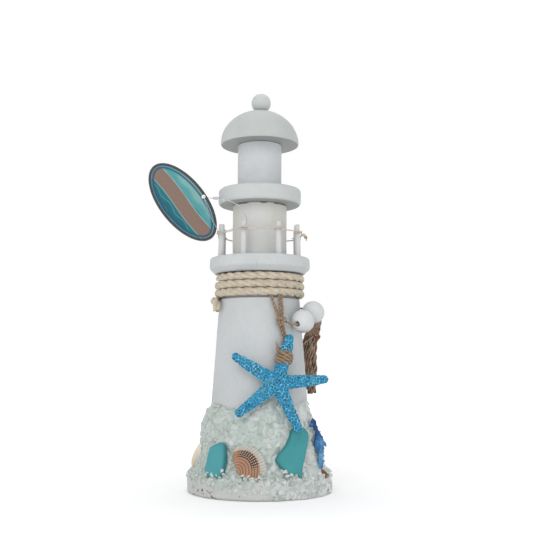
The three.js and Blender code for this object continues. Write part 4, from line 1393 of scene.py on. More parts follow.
def add_glass_skin(rng, material):
    """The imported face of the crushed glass: tilted plates that meet in shallow creases."""
    coarse = 1
    rows, columns = SKIN_ROWS // coarse, SKIN_COLUMNS // coarse
    points, normals = skin_grid(columns, rows)
    tree, plates = glass_plates(points, normals, rng)
    flat = points.reshape(-1, 3)
    bend = flat + ripple(flat, 0.9, 0.35, 2)
    height = np.empty(len(flat))
    tint = np.empty(len(flat))
    for v in range(len(flat)):
        (_, i, nearest), (_, _, second) = tree.find_n(bend[v], 2)
        centre, tilt, offset, tone, present = plates[i]
        crease = CREASE_DEPTH * (1 - min(1, (second - nearest) / CREASE_WIDTH))
        rise = offset + float(tilt @ (flat[v] - centre)) - crease
        height[v] = max(-1.1, min(0.9, rise)) if present else -2.2
        tint[v] = tone
    verts = flat + normals.reshape(-1, 3) * (height - 0.3)[:, None]
    verts[:, 2] = np.maximum(verts[:, 2], 0.2)
    bits = Bits()
    bits.add(verts, ring_faces(rows, columns), tint=tint, grit=0.0)
    finished(bits.build("glass_skin", material), ROOT, "crushed_glass", "gravel_bank", "gravel_rim")


def add_bank_chips(rng, templates, material, share):
    """Chips that stand out of the bank, along its top edge and over the decorations' feet."""
    pieces = decorations()
    bits = Bits()
    samples = clear_of(pieces, outer_samples("gravel_bank", int(700 * share), rng, 30))
    samples = [(point, normal) for point, normal in samples if point[2] < BANK_CHIP_LIMIT]
    add_chips(bits, samples, templates, rng, 1.6, 4.2, 0.34)
    add_chips(bits, clear_of(pieces, top_edge_samples(150, rng)), templates, rng, 1.0, 2.4, 0.2)
    feet = [sample for chips in FOOT_CHIPS for sample in foot_samples(*chips)]
    add_chips(bits, feet, templates, rng, 2.6, 4.4, 0.2, grit=0)
    finished(bits.build("bank_chips", material, smooth=False), ROOT, "crushed_glass")


def add_rim_chips(rng, templates, material, share):
    """Chips on the plinth's side and top, and a few that hang from its front edge."""
    _, plinth = box_mm("plinth")
    radius, top = plinth[0], plinth[2]
    bits = Bits()
    side = plinth_side_samples(int(150 * share), rng, radius + 0.4, top)
    add_chips(bits, side, templates, rng, 2.0, 4.8, 0.30)
    upper = plinth_top_samples(int(300 * share), rng, 43.2, radius - 0.4, top + 0.6)
    add_chips(bits, clear_of(decorations(), upper), templates, rng, 2.2, 4.6, 0.12)
    hanging = [(facing(angle, radius + 0.3, z), facing(angle, 1, 0)) for angle, z in HANGING_CHIPS]
    add_chips(bits, hanging, templates, rng, 3.2, 4.2, 0.1, grit=0)
    finished(bits.build("rim_chips", material, smooth=False), ROOT, "crushed_glass")


def add_gravel():
    rng = random.Random(SEED + 3)
    templates = chip_templates(rng)
    share = 1.0
    material = crushed_glass()
    add_glass_skin(rng, material)
    add_bank_chips(rng, templates, material, share)
    add_rim_chips(rng, templates, material, share)


# ------------------------------------------------------------------ sea glass
GLASS_THICKNESS = 5
GLASS_CROWN = 0.25
GLASS_ROUNDING = 1.1
GLASS_FACE = 0.82


def tumbled_outline(outline):
    """The outline with its sides a little bowed and its corners worn round."""
    closed = np.array(outline + outline[:3], float)
    ring = []
    for p0, p1, p2, p3 in zip(closed, closed[1:], closed[2:], closed[3:]):
        for t in np.linspace(0, 1, 14, endpoint=False):
            straight = p1 + (p2 - p1) * t
            ring.append(straight * 0.85 + catmull_point(p0, p1, p2, p3, t) * 0.15)
    ring = np.array(ring)
    for _ in range(2):
        ring = ring * 0.5 + (np.roll(ring, 1, axis=0) + np.roll(ring, -1, axis=0)) * 0.25
    return ring


def sea_glass_piece(name, outline, matrix, material, node):
    """A tumbled plate: its faces are crowned and its rim is round."""
    ring = tumbled_outline(outline)
    centre = ring.mean(0)
    reach = ring - centre
    length = np.linalg.norm(reach, axis=1)[:, None]
    half = GLASS_THICKNESS / 2
    crown = np.linspace(0.1, 0.9, 9)
    layers = [(centre + reach * (s * GLASS_FACE), -half - GLASS_CROWN * (1 - s), 0.0) for s in crown]
    for a in np.linspace(-90, 90, 13):
        inset = GLASS_ROUNDING * (1 - math.cos(math.radians(a)))
        depth = (half - 0.3) * math.sin(math.radians(a))
        layers.append((ring - reach / length * inset, depth, 1 - abs(a) / 90 * 0.55))
    layers += [(centre + reach * (s * GLASS_FACE), half + GLASS_CROWN * (1 - s), 0.0) for s in crown[::-1]]
    count = len(ring)
    verts = [np.column_stack([flat, np.full(count, depth)]) for flat, depth, _ in layers]
    verts += [[[*centre, -half - GLASS_CROWN]], [[*centre, half + GLASS_CROWN]]]
    verts = np.concatenate(verts)
    rim = np.concatenate([*(np.full(count, value) for _, _, value in layers), [0, 0]])
    faces = ring_faces(len(layers), count)
    first, last = len(verts) - 2, len(verts) - 1
    top = (len(layers) - 1) * count
    for k in range(count):
        n = (k + 1) % count
        faces.append((n, k, first))
        faces.append((top + k, top + n, last))
    verts += ripple(verts, 0.45, 0.22, len(name))
    bits = Bits()
    bits.add(placed(verts, matrix), faces, rim=rim)
    finished(bits.build(name, material), ROOT, "sea_glass", node)


def add_sea_glass():
    blue = sea_glass("sea_glass_aqua", (0.045, 0.275, 0.30), (0.033, 0.225, 0.25))
    green = sea_glass("sea_glass_teal", (0.034, 0.265, 0.285), (0.02, 0.20, 0.21))
    left, right = surface_frame(*GLASS_LEFT_PLACE), surface_frame(*GLASS_RIGHT_PLACE)
    sea_glass_piece("aqua_glass", GLASS_LEFT_OUTLINE, left, blue, "sea_glass_left")
    sea_glass_piece("teal_glass", GLASS_RIGHT_OUTLINE, right, green, "sea_glass_right")


# ------------------------------------------------------------------ shells
COCKLE_ROWS = 60
COCKLE_COLUMNS = 168


def fan_point(s, f, side, ribs, reach, half_spread, rise, side_drop, left_drop=0.0, bow=0.0):
    """A point of the shell, s of the way from hinge to rim and f across it. Its side is 1 on the
    ribbed face and 0 underneath."""
    angle = math.radians((2 * f - 1) * half_spread * (1 + bow * math.sin(math.pi * s)))
    shape = 1 - side_drop * abs(2 * f - 1) ** 3 - left_drop * max(0, 1 - 2 * f) ** 1.4
    x = reach * shape * s * math.sin(angle)
    y = -reach / 2 + reach * shape * s * math.cos(angle)
    dome = math.sin(math.pi * s ** 0.72) ** 0.75 if 0 < s < 1 else 0
    edge = math.sin(math.pi * f) ** 0.35 if 0 < f < 1 else 0
    z = rise * dome * edge * side
    if side:
        wave = math.cos(2 * math.pi * ribs * f)
        z += 0.22 * wave * smooth(s * 3) * edge * min(1, (1 - s) * 12)
        z += 0.09 * math.sin(s * GROWTH_WAVES) * smooth(s * 2) * edge
    return x, y, z - 0.25 * (1 - side)


def shell_faces():
    """Quads of the upper and the lower sheet, and the band that joins their borders."""
    faces = []
    stride = COCKLE_COLUMNS + 1
    total = (COCKLE_ROWS + 1) * stride
    for i in range(COCKLE_ROWS):
        for k in range(COCKLE_COLUMNS):
            a = i * stride + k
            quad = (a, a + 1, a + stride + 1, a + stride)
            faces.append(quad[::-1])
            faces.append(tuple(v + total for v in quad))
    border = list(range(stride))
    border += [i * stride + COCKLE_COLUMNS for i in range(1, COCKLE_ROWS + 1)]
    border += [COCKLE_ROWS * stride + k for k in range(COCKLE_COLUMNS - 1, -1, -1)]
    border += [i * stride for i in range(COCKLE_ROWS - 1, 0, -1)]
    for a, b in zip(border, border[1:] + border[:1]):
        faces.append((a, b, b + total, a + total))
    return faces


def cockle(name, matrix, material, slot, node, ribs, **shape):
    """A fan of ribs that spreads from its hinge, domed and closed underneath. Its hinge is half the
    reach below the frame's origin."""
    verts = []
    growth = []
    rib = []
    across = []
    for side in (1, 0):
        for i in range(COCKLE_ROWS + 1):
            s = i / COCKLE_ROWS
            for k in range(COCKLE_COLUMNS + 1):
                f = k / COCKLE_COLUMNS
                verts.append(fan_point(s, f, side, ribs, **shape))
                growth.append(s)
                rib.append(0.5 + 0.5 * math.cos(2 * math.pi * ribs * f))
                across.append(f)
    bits = Bits()
    bits.add(placed(verts, matrix), shell_faces(), growth=growth, rib=rib, across=across)
    finished(welded(bits.build(name, material), 2e-6, outward=True), ROOT, slot, node)


def add_shells():
    brown, cream = surface_frame(*COCKLE_PLACE), surface_frame(*CREAM_PLACE)
    cockle("brown_cockle_shell", brown, brown_cockle(), "brown_shell", "brown_shell", ribs=21,
           reach=19, half_spread=60, rise=4.0, side_drop=0.06, left_drop=0.14, bow=0.24)
    cockle("cream_cockle_shell", cream, cream_cockle(), "cream_shell", "cream_shell", ribs=14,
           reach=20, half_spread=30, rise=3.6, side_drop=0.1)


# ------------------------------------------------------------------ seahorse and twig
def add_seahorse():
    """Ringed body, thin neck, snout, crown and curled tail, cast in one and set edge-on in the bank."""
    frame_matrix = surface_frame(*SEAHORSE_PLACE)
    bits = Bits()

    def limb(points, radii, sides=14, flatness=1.4, rings=0.0):
        path = catmull(points, 0.3)
        s = np.linspace(0, 1, len(path))
        radius = np.interp(s, np.linspace(0, 1, len(radii)), radii)
        wave = 0.5 + 0.5 * np.sin(path[:, 1] * 2.9)
        body, limb_faces, _ = sweep(path, radius * (1 + rings * (wave - 0.5)), sides, flatness)
        body = body + ripple(body, 1.3, 0.22) + ripple(body, 3.1, 0.08)
        paleness = np.clip((10 - path[:, 1]) / 24, 0, 1) + 0.12 * (wave - 0.5)
        bits.add(placed(body, frame_matrix), limb_faces, ridge=np.tile(paleness, sides))

    limb([(-0.8, 14.6, -1.2), (0.8, 12.2, -0.8), (1.4, 9.4, -0.4), (1.6, 6.4, 0), (2.2, 3.2, 0.2),
          (2.4, -0.6, 0), (1.9, -4.4, -0.3), (1.1, -8.4, -0.8), (0.3, -12.2, -1.3), (-1.2, -15.2, -1.7),
          (-2.9, -15.6, -1.8), (-3.3, -14.0, -1.7), (-2.4, -13.2, -1.6)],
         [1.6, 1.35, 1.1, 2.1, 2.5, 2.3, 2.1, 1.8, 1.7, 1.5, 1.2, 0.9, 0.6], 20, 1.45, 0.14)
    limb([(0.6, 14.8, -1.2), (-1.4, 14.6, -1.2), (-3.4, 14, -1.2), (-5.4, 13.5, -1.2), (-6.2, 13.4, -1.2)],
         [1.9, 1.7, 0.95, 0.8, 1.0], flatness=1.1)
    limb([(-0.6, 15.6, -1.2), (0.3, 16.9, -1.2), (0.8, 17.8, -1.2)], [1.3, 0.9, 0.4], flatness=1.0)
    limb([(0.8, 15.2, -1.2), (2.1, 16, -1.1), (2.9, 16.5, -1)], [1.0, 0.7, 0.3], flatness=1.0)
    limb([(0.9, 6, 0), (-1.2, 3.4, 0), (-1.6, 0, 0), (0, -3.4, -0.2)], [1.2, 2.1, 2.1, 1.2])
    limb([(3.4, 2.2, 1.2), (4.2, 0.4, 2.4), (4.4, -1.0, 3.2)], [1.5, 1.1, 0.5], flatness=0.9)
    limb([(4, 2.8, 0.4), (6.2, 1.2, 0.6), (6.8, -0.6, 0.8)], [1.2, 0.8, 0.3], flatness=1.0)
    for k in range(7):
        y = 8.5 - 3.1 * k
        x = 2.4 - 0.014 * (y - 1) ** 2
        limb([(x + 1.4, y, 0), (x + 3.0, y + 0.1, 0.3), (x + 3.8, y + 0.3, 0.6)], [0.8, 0.6, 0.25], 8, 1.0)
    finished(bits.build("seahorse_cast", seahorse_resin()), ROOT, "seahorse_resin", "seahorse")


def add_twig():
    points = [[38.4, -18.3, 15.6], [40.2, -19.4, 14.2], [41.9, -20.6, 12.8], [43.4, -21.7, 11.6]]
    line = catmull(points, 0.4)
    s = np.linspace(0, 1, len(line))
    radius = 1.5 + 0.12 * np.sin(s * 23) + 0.08 * np.sin(s * 51)
    verts, faces, uv = sweep(line, radius, 24)
    ends = np.tile(np.where(s > 0.985, 1.0, 0.0), 24)
    verts = verts + ripple(verts, 1.4, 0.12)
    bits = Bits()
    bits.add(verts, faces, uv, end=ends)
    finished(bits.build("twig", bark()), ROOT, "bark", "driftwood_twig")


# ------------------------------------------------------------------ jute hanger
JUTE_DIAMETER = 1.8
HANGER_LEFT = [[8.1, -27.6, 124.6], [9.4, -28, 120], [11, -28.3, 115.6], [12.2, -28.2, 113.3]]
HANGER_RIGHT = [[13.4, -25.9, 124.6], [13.7, -26.1, 121], [14, -26.5, 116.6], [14.2, -26.8, 113.3]]
HANGER_RIGHT_SHARES = [1, 1, 1, 0.6]
PENDANT_ROUTE = [[14.3, -28, 106.5], [14.9, -27.2, 103.6], [15.8, -26.4, 100.6], [16.2, -26, 97.8],
                 [15.9, -26, 95.8]]
STAR_CENTRE = (11, -35.2, 70.6)
STAR_FACING = 10
STAR_LEAN = 9
STAR_ARMS = [(4, 33.1), (72.3, 32.6), (147.5, 33.2), (216.8, 33), (294, 33.4)]
ARM_STATIONS = [0, 0.25, 0.5, 0.8, 1]
ARM_HALF_WIDTHS = [5.0, 4.3, 3.8, 3.2, 2.6]
UPPER_ARM_HALF_WIDTHS = [5.0, 4.3, 4.1, 3.8, 2.5]


def jute_material():
    return fibre_cord("jute_fibre", (0.16, 0.095, 0.055), (0.50, 0.36, 0.245), twist=6)


def add_hanger(material):
    """One cord down from the gallery on the left and two on the right, and the knot they end in."""
    rng = random.Random(SEED + 4)
    bits = Bits()
    line = catmull([[7.3, -26.9, 128.2], *HANGER_LEFT, [13.2, -28.4, 111.4]], 0.5)
    add_cord(bits, line, JUTE_DIAMETER * 1.1, 5)
    add_fuzz(bits, line, 0.9, 40, rng, 2.4, 0.05)
    finished(bits.build("hanger_left_strands", material), ROOT, "jute", "hanger_cord_left")

    bits = Bits()
    for shift in (-0.75, 0.75):
        route = [np.array(p) + [shift * share, 0.1 * shift, 0]
                 for p, share in zip(HANGER_RIGHT, HANGER_RIGHT_SHARES)]
        route = [route[0] + [0.1, 0.5, 3.4], *route, [14 + shift * 0.5, -27.9, 111.2]]
        line = catmull(route, 0.5)
        add_cord(bits, line, JUTE_DIAMETER * 0.95, 4.6, phase=shift)
        add_fuzz(bits, line, 0.8, 40, rng, 2.6, 0.05)
    finished(bits.build("hanger_right_strands", material), ROOT, "jute", "hanger_cord_right")
    add_hanger_knot(material, rng)


def add_hanger_knot(material, rng):
    lo, hi = box_mm("hanger_knot")
    centre = (lo + hi) / 2
    knot = trefoil(0.95, 1.15, 0.88, 120) + centre
    bits = Bits()
    add_cord(bits, knot + [0, -1.4, 0], JUTE_DIAMETER, 3.6)
    core = catmull([centre + [-0.6, 0.6, 2.2], centre, centre + [0.5, 0.4, -2.6]], 0.4)
    add_cord(bits, core, JUTE_DIAMETER * 1.3, 4)
    add_fuzz(bits, knot, 0.9, 60, rng, 2.6, 0.05)
    for end in np.array([[-3.6, -0.8, -3.2], [-2.2, -1.4, -4.6]]):
        tail = catmull([centre + [-1.6, -1.2, -0.6], centre + end * 0.6, centre + end], 0.3)
        add_thread(bits, tail, np.linspace(0.28, 0.06, len(tail)))
    finished(bits.build("hanger_knot_strands", material), ROOT, "jute", "hanger_knot")


def star_matrix():
    return surface_frame(STAR_FACING, np.array(STAR_CENTRE), STAR_LEAN)


def add_pendant_cord(material):
    """From the knot down behind the starfish's upper arm. It bends where it leaves the knot."""
    rng = random.Random(SEED + 5)
    bits = Bits()
    for shift in (-0.72, 0.72):
        route = [[13.9, -27.4, 108], *PENDANT_ROUTE, [15.6, -26.6, 93.6]]
        line = catmull([np.array(p) + [shift, 0.15 * shift, 0.2 * shift] for p in route], 0.45)
        add_cord(bits, line, JUTE_DIAMETER * 1.05, 5, phase=shift)
        add_fuzz(bits, line, 0.9, 30, rng, 2.4, 0.05)
    cord = bits.build("pendant_strands", material)
    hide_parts("pendant_cord")
    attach(cord, "pendant")


LASHING_TURNS = 4.4
LASHING_START = 13.0
LASHING_END = 20.2
LASHING_TAILS = [(3.4, 4.6, 0.5), (2.6, 5.4, 0.9), (1.8, 4.4, -0.2), (3.0, 5.0, 0.2), (1.0, 5.2, 0.4)]


def lashing_line(along, across, out):
    """The turns round the upper arm, which lie unevenly and are widest halfway."""
    span = LASHING_END - LASHING_START
    points = []
    for k in range(int(LASHING_TURNS * 28) + 1):
        t = k / 28
        a = 2 * math.pi * t
        uneven = 0.28 * math.sin(a + 0.6) + 0.12 * math.sin(2.3 * a)
        level = LASHING_START + span * t / LASHING_TURNS + uneven
        bulge = 0.45 * math.sin(math.pi * (level - LASHING_START) / span)
        wide = 4.55 - 0.03 * (level - LASHING_START) + bulge
        deep = 3.3 + 0.4 * bulge
        points.append(along * (level - 0.20 * wide * math.cos(a)) + across * wide * math.cos(a)
                      + out * deep * math.sin(a))
    return resampled(np.array(points), 0.45)


def add_lashing(material):
    """Jute wound round the upper arm, its end tied off and frayed at the upper left."""
    rng = random.Random(SEED + 6)
    matrix = star_matrix()
    arm = math.radians(STAR_ARMS[1][0])
    along = np.array([math.cos(arm), math.sin(arm), 0])
    across = np.array([-along[1], along[0], 0])
    out = np.array([0, 0, 1.0])
    turns = placed(lashing_line(along, across, out), matrix)
    bits = Bits()
    add_cord(bits, turns, 1.95, 9.0)
    add_fuzz(bits, turns, 0.9, 150, rng, 2.4, 0.05)
    tie = along * 20.6 + across * 5.4 + out * 1.2
    add_cord(bits, placed(lying(trefoil(0.42, 0.6, 0.42)) + tie, matrix), 1.2, 3)
    for sideways, rise, depth in LASHING_TAILS:
        tail = [tie, tie + across * sideways * 0.5 + along * rise * 0.4 + out * depth * 0.5,
                tie + across * sideways + along * rise + out * depth]
        path = placed(catmull(tail, 0.35), matrix)
        add_thread(bits, path, np.linspace(0.24, 0.05, len(path)))
    finished(bits.build("lashing_strands", material), "hanging_starfish", "jute", "starfish_lashing")


# ------------------------------------------------------------------ starfish
STAR_HALF_THICKNESS = 3.0
STAR_DISC_RADIUS = 8.0
ARM_POINTS = 40
NET_SPACING = 1.55
NET_LINE = 0.66
NET_RISE = 0.42
NEIGHBOURS = [(x, y, z) for x in (-1, 0, 1) for y in (-1, 0, 1) for z in (-1, 0, 1)]


def star_form():
    """Five round-ended arms, flattened towards their ends, and the disc they meet in."""
    side = [(math.cos(b), math.sin(b)) for b in np.linspace(-1.4, 1.4, 9)]
    ball, ball_faces = lathe([(0, -1), *side, (0, 1)], 40)
    bits = Bits()
    for k, (angle, length) in enumerate(STAR_ARMS):
        a = math.radians(angle)
        direction = np.array([math.cos(a), math.sin(a), 0])
        widths = UPPER_ARM_HALF_WIDTHS if k == 1 else ARM_HALF_WIDTHS
        end = widths[-1]
        line = np.array([direction * t for t in np.linspace(0, length - end, ARM_POINTS)])
        wide = np.interp(np.linspace(0, 1, ARM_POINTS), ARM_STATIONS, widths)
        verts, faces, _ = sweep(line, wide, 24)
        taper = 1.0 - 0.12 * np.clip(np.abs(verts @ direction) / length, 0, 1)
        verts[:, 2] *= STAR_HALF_THICKNESS / wide.max() * taper
        bits.add(verts, faces)
        bits.add(ball * [end, end, end * 0.85] + direction * (length - end), ball_faces)
    bits.add(ball * [STAR_DISC_RADIUS, STAR_DISC_RADIUS, STAR_HALF_THICKNESS + 0.5], ball_faces)
    return bits


def spaced_points(points, spacing, rng):
    """Some of the points, taken at random, no two of them closer than the spacing."""
    order = list(range(len(points)))
    rng.shuffle(order)
    chosen = []
    grid = {}
    for i in order:
        p = points[i]
        cell = tuple(int(math.floor(c / spacing)) for c in p)
        near = [q for x, y, z in NEIGHBOURS for q in grid.get((cell[0] + x, cell[1] + y, cell[2] + z), ())]
        if not any((p[0] - q[0]) ** 2 + (p[1] - q[1]) ** 2 + (p[2] - q[2]) ** 2 < spacing ** 2
                   for q in near):
            grid.setdefault(cell, []).append(p)
            chosen.append(p)
    return chosen


def net_height(co):
    """1 on the raised lines between cells a millimetre and a half across, 0 in a cell's middle."""
    centres = spaced_points(co, NET_SPACING, random.Random(SEED + 7))
    tree = kdtree.KDTree(len(centres))
    for i, p in enumerate(centres):
        tree.insert(p, i)
    tree.balance()
    warped = co + ripple(co, 1.6, 0.45, 5)
    gap = np.empty(len(co))
    for i, p in enumerate(warped):
        (_, _, nearest), (_, _, second) = tree.find_n(p, 2)
        gap[i] = second - nearest
    return 1 - smooth(gap / NET_LINE)


def vertex_rows(mesh, name):
    """A vector that every vertex has, as the rows of an array."""
    values = np.zeros(len(mesh.vertices) * 3)
    mesh.vertices.foreach_get(name, values)
    return values.reshape(-1, 3)


def raise_net(mesh):
    """Lifts the net off the skin, keeps its height for the paint, and sets the star in its place."""
    co = vertex_rows(mesh, "co") / MM
    normal = vertex_rows(mesh, "normal")
    ridge = net_height(co)
    height = NET_RISE * ridge - 0.12 + 0.08 * ripple(co, 0.9, 1)[:, 0]
    co = co + normal * height[:, None]
    mesh.vertices.foreach_set("co", (placed(co, star_matrix()) * MM).ravel())
    attribute = mesh.attributes.new("ridge", "FLOAT", "POINT")
    attribute.data.foreach_set("value", ridge.astype(np.float32))
    mesh.update()


def add_starfish():
    """The arms and disc, remeshed into one skin and covered by a raised net of nodules."""
    star = star_form().build("starfish_cast", starfish_resin())
    voxel = 0.42 * MM
    modified(star, "REMESH", mode="VOXEL", voxel_size=voxel, use_smooth_shade=True)
    modified(star, "SMOOTH", factor=0.5, iterations=14)
    modified(star, "SUBSURF", levels=1, render_levels=1, subdivision_type="CATMULL_CLARK")
    raise_net(star.data)
    finished(star, "hanging_starfish", "starfish_resin", "starfish")


# ------------------------------------------------------------------ beads and their string
FRONT_BEAD = ((27.9, -22.6, 109.8), (0.55, 0.79, 0.28))
REAR_BEAD = ((35.3, -10.8, 116.2), (0.4, 0.86, 0.33))
BEAD_RADIUS = 7.5
BEAD_HOLE_RADIUS = 1.75
STRING_DIAMETER = 1.5
STRING_ROUTE = [
    [17.3, -27.9, 109.2], [19.5, -28.3, 108.2], [21.8, -28.8, 107.6], [23.8, -28.5, 107.7],
    [25.8, -25.6, 108.7], [27.9, -22.6, 109.8], [30.1, -19.6, 111], [32.1, -17, 112.8],
    [33.8, -13.9, 114.8], [35.3, -10.8, 116.2], [36.8, -7.6, 117.5], [38.3, -4.3, 118.7],
    [39.2, 1, 119.4], [38.6, 6.2, 119.5], [37, 11, 119.4], [34.3, 15.6, 119.8],
    [30.7, 19.8, 120.6], [26.6, 23.1, 121.6], [22.4, 25.5, 122.7], [18.4, 26.8, 123.8],
    [15, 26.8, 124.6],
]


BEADS = [
    ("bead_front_turned", "bead_front", "front_bead", FRONT_BEAD),
    ("bead_rear_turned", "bead_rear", "rear_bead", REAR_BEAD),
]


def bead_profile():
    """Up the ball, over the lip, down the wall of the hole and back over the other lip."""
    mouth = math.degrees(math.asin(BEAD_HOLE_RADIUS / BEAD_RADIUS))
    wall = BEAD_RADIUS * math.cos(math.radians(mouth))
    edge = 90 - mouth - 3.5
    ball = arc(BEAD_RADIUS, -edge, edge, 40)
    lip = [(BEAD_HOLE_RADIUS + 0.2, wall - 0.12), (BEAD_HOLE_RADIUS, wall - 0.5)]
    hole = [(BEAD_HOLE_RADIUS, z) for z in np.linspace(wall - 1.5, -wall + 1.5, 9)]
    foot = [(BEAD_HOLE_RADIUS, -wall + 0.5), (BEAD_HOLE_RADIUS + 0.2, -wall + 0.12)]
    return [*ball, *lip, *hole, *foot, ball[0]]


def add_beads():
    enamel = white_paint("bead_paint", (1.16, 1.195, 1.20))
    upright, faces = lathe(bead_profile(), 72)
    upright += ripple(upright, 0.3, 0.05, 2)
    made = []
    for name, node, body, (centre, axis) in BEADS:
        turn = np.array(Vector((0, 0, 1)).rotation_difference(Vector(axis)).to_matrix())
        bits = Bits()
        bits.add(upright @ turn.T + np.array(centre), faces)
        made.append(finished(welded(bits.build(name, enamel), 1e-6), body, "bead_paint", node))
    return made


def add_bead_string(material):
    rng = random.Random(SEED + 8)
    line = catmull([[15.4, -28.2, 110], *STRING_ROUTE], 0.5)
    bits = Bits()
    add_cord(bits, line, STRING_DIAMETER, 3.4)
    add_fuzz(bits, line, 0.75, 60, rng, 2.0, 0.05)
    string = finished(bits.build("bead_string_strands", material), ROOT, "jute", "garland_string")


# ------------------------------------------------------------------ tassel
TASSEL_FACING = 109.4
TASSEL_RADIUS = 37.1
TASSEL_NECK = 99.6
TASSEL_LEVELS = [62, 75, 83, 88, 95, 100, 103.5]
TASSEL_HALF_WIDTHS = [3.4, 3.6, 4.6, 5.0, 5.3, 5.1, 4.4]
TASSEL_DRIFTS = [0.3, 0.05, -0.4, -0.6, -1.0, -0.3, 0.6]
HOOK = (37.0, 11.0, 119.4)
SKIRT_CORDS = 24
# Cords in each layer of the head, its depth, and where its twist starts.
HEAD_LAYERS = [(9, -3.6, 1.6), (9, 0.4, 0.4), (8, 3.6, -0.9)]
TIE_TURNS = 2
TIE_STEPS = 30
PALE_THREAD = [(-6.5, -3.2, 94.6), (-4.4, -5.4, 96.6), (-1.4, -6.2, 98.9), (1.2, -6.0, 101.0)]


def add_tassel():
    """Folded cords that hang over the bead string, tied at the neck and left loose below it."""
    material = fibre_cord("dark_jute_fibre", (0.12, 0.075, 0.045), (0.50, 0.355, 0.25), twist=5,
                          groove=(0.52, 0.97))
    centre = facing(TASSEL_FACING, TASSEL_RADIUS, 0)
    add_tassel_skirt(centre, material)
    add_tassel_head(centre, material)
    add_tassel_tie(centre)
    add_tassel_thread(centre)


def add_tassel_skirt(centre, material):
    """The loose cords below the neck, spread evenly over a disc."""
    rng = random.Random(SEED + 9)
    lo, _ = box_mm("tassel_skirt")
    bits = Bits()
    for k in range(SKIRT_CORDS):
        a = 2 * math.pi * ((k * 0.618034) % 1)
        share = math.sqrt((k + 0.5) / SKIRT_CORDS)
        bottom = lo[2] + 0.3 + (rng.uniform(0, 6) if share < 0.9 else rng.uniform(0, 3.5))
        wobble = rng.uniform(0, 6.3)
        points = []
        for z in np.linspace(103.5, bottom, 17):
            reach = share * (np.interp(z, TASSEL_LEVELS, TASSEL_HALF_WIDTHS) - 0.8)
            drift = np.interp(z, TASSEL_LEVELS, TASSEL_DRIFTS)
            sway = 0.6 * smooth((103 - z) / 12) * math.sin(0.33 * z + wobble)
            offset = [drift + reach * math.cos(a) + sway, reach * math.sin(a) - 0.6 * sway, z]
            points.append(centre + offset)
        line = catmull(points, 0.9)
        add_cord(bits, line, rng.uniform(2.0, 2.6), rng.uniform(9, 14), sides=7, phase=wobble)
    add_fuzz(bits, line, 2, 30, rng, 3.5, 0.06)
    finished(bits.build("tassel_strands", material), "tassel", "dark_jute", "tassel_skirt")


def add_tassel_head(centre, material):
    """Three layers of cords that rise from the neck, fold over the string and come down behind it."""
    _, string, _ = HOOK
    middle = centre[1]
    bits = Bits()
    for count, depth, phase in HEAD_LAYERS:
        for k in range(count):
            t = k / (count - 1)
            points = [
                [31.6 + 8.2 * t, middle + depth, 101.5],
                [33.6 + 6.9 * t, middle + depth * 0.95, 105.2],
                [36.6 + 4.6 * t, middle + depth * 0.8, 109],
                [38.9 + 2.9 * t, middle + depth * 0.6, 113],
                [39.5 + 1.9 * t, string + depth * 0.4, 117],
                [38.2 + 1.6 * t, string + depth * 0.3, 120 + 0.8 * t],
                [36.3 - 0.4 * t, string + depth * 0.3, 120.4 + 0.8 * t],
                [34.9 - 0.8 * t, string + depth * 0.4, 117],
                [35.2 + 0.4 * t, middle + depth * 0.6, 112],
                [34.4 + 2 * t, middle + depth * 0.7, 103.5],
            ]
            add_cord(bits, catmull(points, 0.8), 1.9, 9.0, sides=7, phase=k + phase)
    finished(bits.build("tassel_head_strands", material), "tassel", "dark_jute", "tassel_loop")


def add_tassel_tie(centre):
    """Two turns of red-brown thread round the neck, and their knot at the right."""
    bits = Bits()
    points = []
    for k in range(TIE_TURNS * TIE_STEPS + 1):
        a = 2 * math.pi * k / TIE_STEPS
        level = TASSEL_NECK + 1.2 - 1.6 * k / (TIE_TURNS * TIE_STEPS)
        points.append(centre + [5.0 * math.cos(a) - 0.2, 5.0 * math.sin(a), level + 1.2 * math.cos(a)])
    add_cord(bits, resampled(np.array(points), 0.5), 0.55, 2.4, sides=6)
    right = centre + [4.4, -3.0, TASSEL_NECK + 0.9]
    add_cord(bits, trefoil(0.56, 0.8, 0.56) + right, 1.6, 3.4, sides=6)
    material = fibre_cord("tassel_tie", (0.17, 0.065, 0.035), (0.36, 0.17, 0.10), twist=5)
    finished(bits.build("tassel_tie_strands", material), "tassel", "dark_jute", "tassel_binding")


def add_tassel_thread(centre):
    """The pale thread that slants across the neck."""
    material = fibre_cord("pale_thread", (0.55, 0.52, 0.46), (0.75, 0.73, 0.68), twist=3)
    bits = Bits()
    add_thread(bits, catmull([centre + p for p in PALE_THREAD], 0.4), 0.2, 6)
    finished(bits.build("tassel_pale_thread", material), "tassel", "dark_jute")


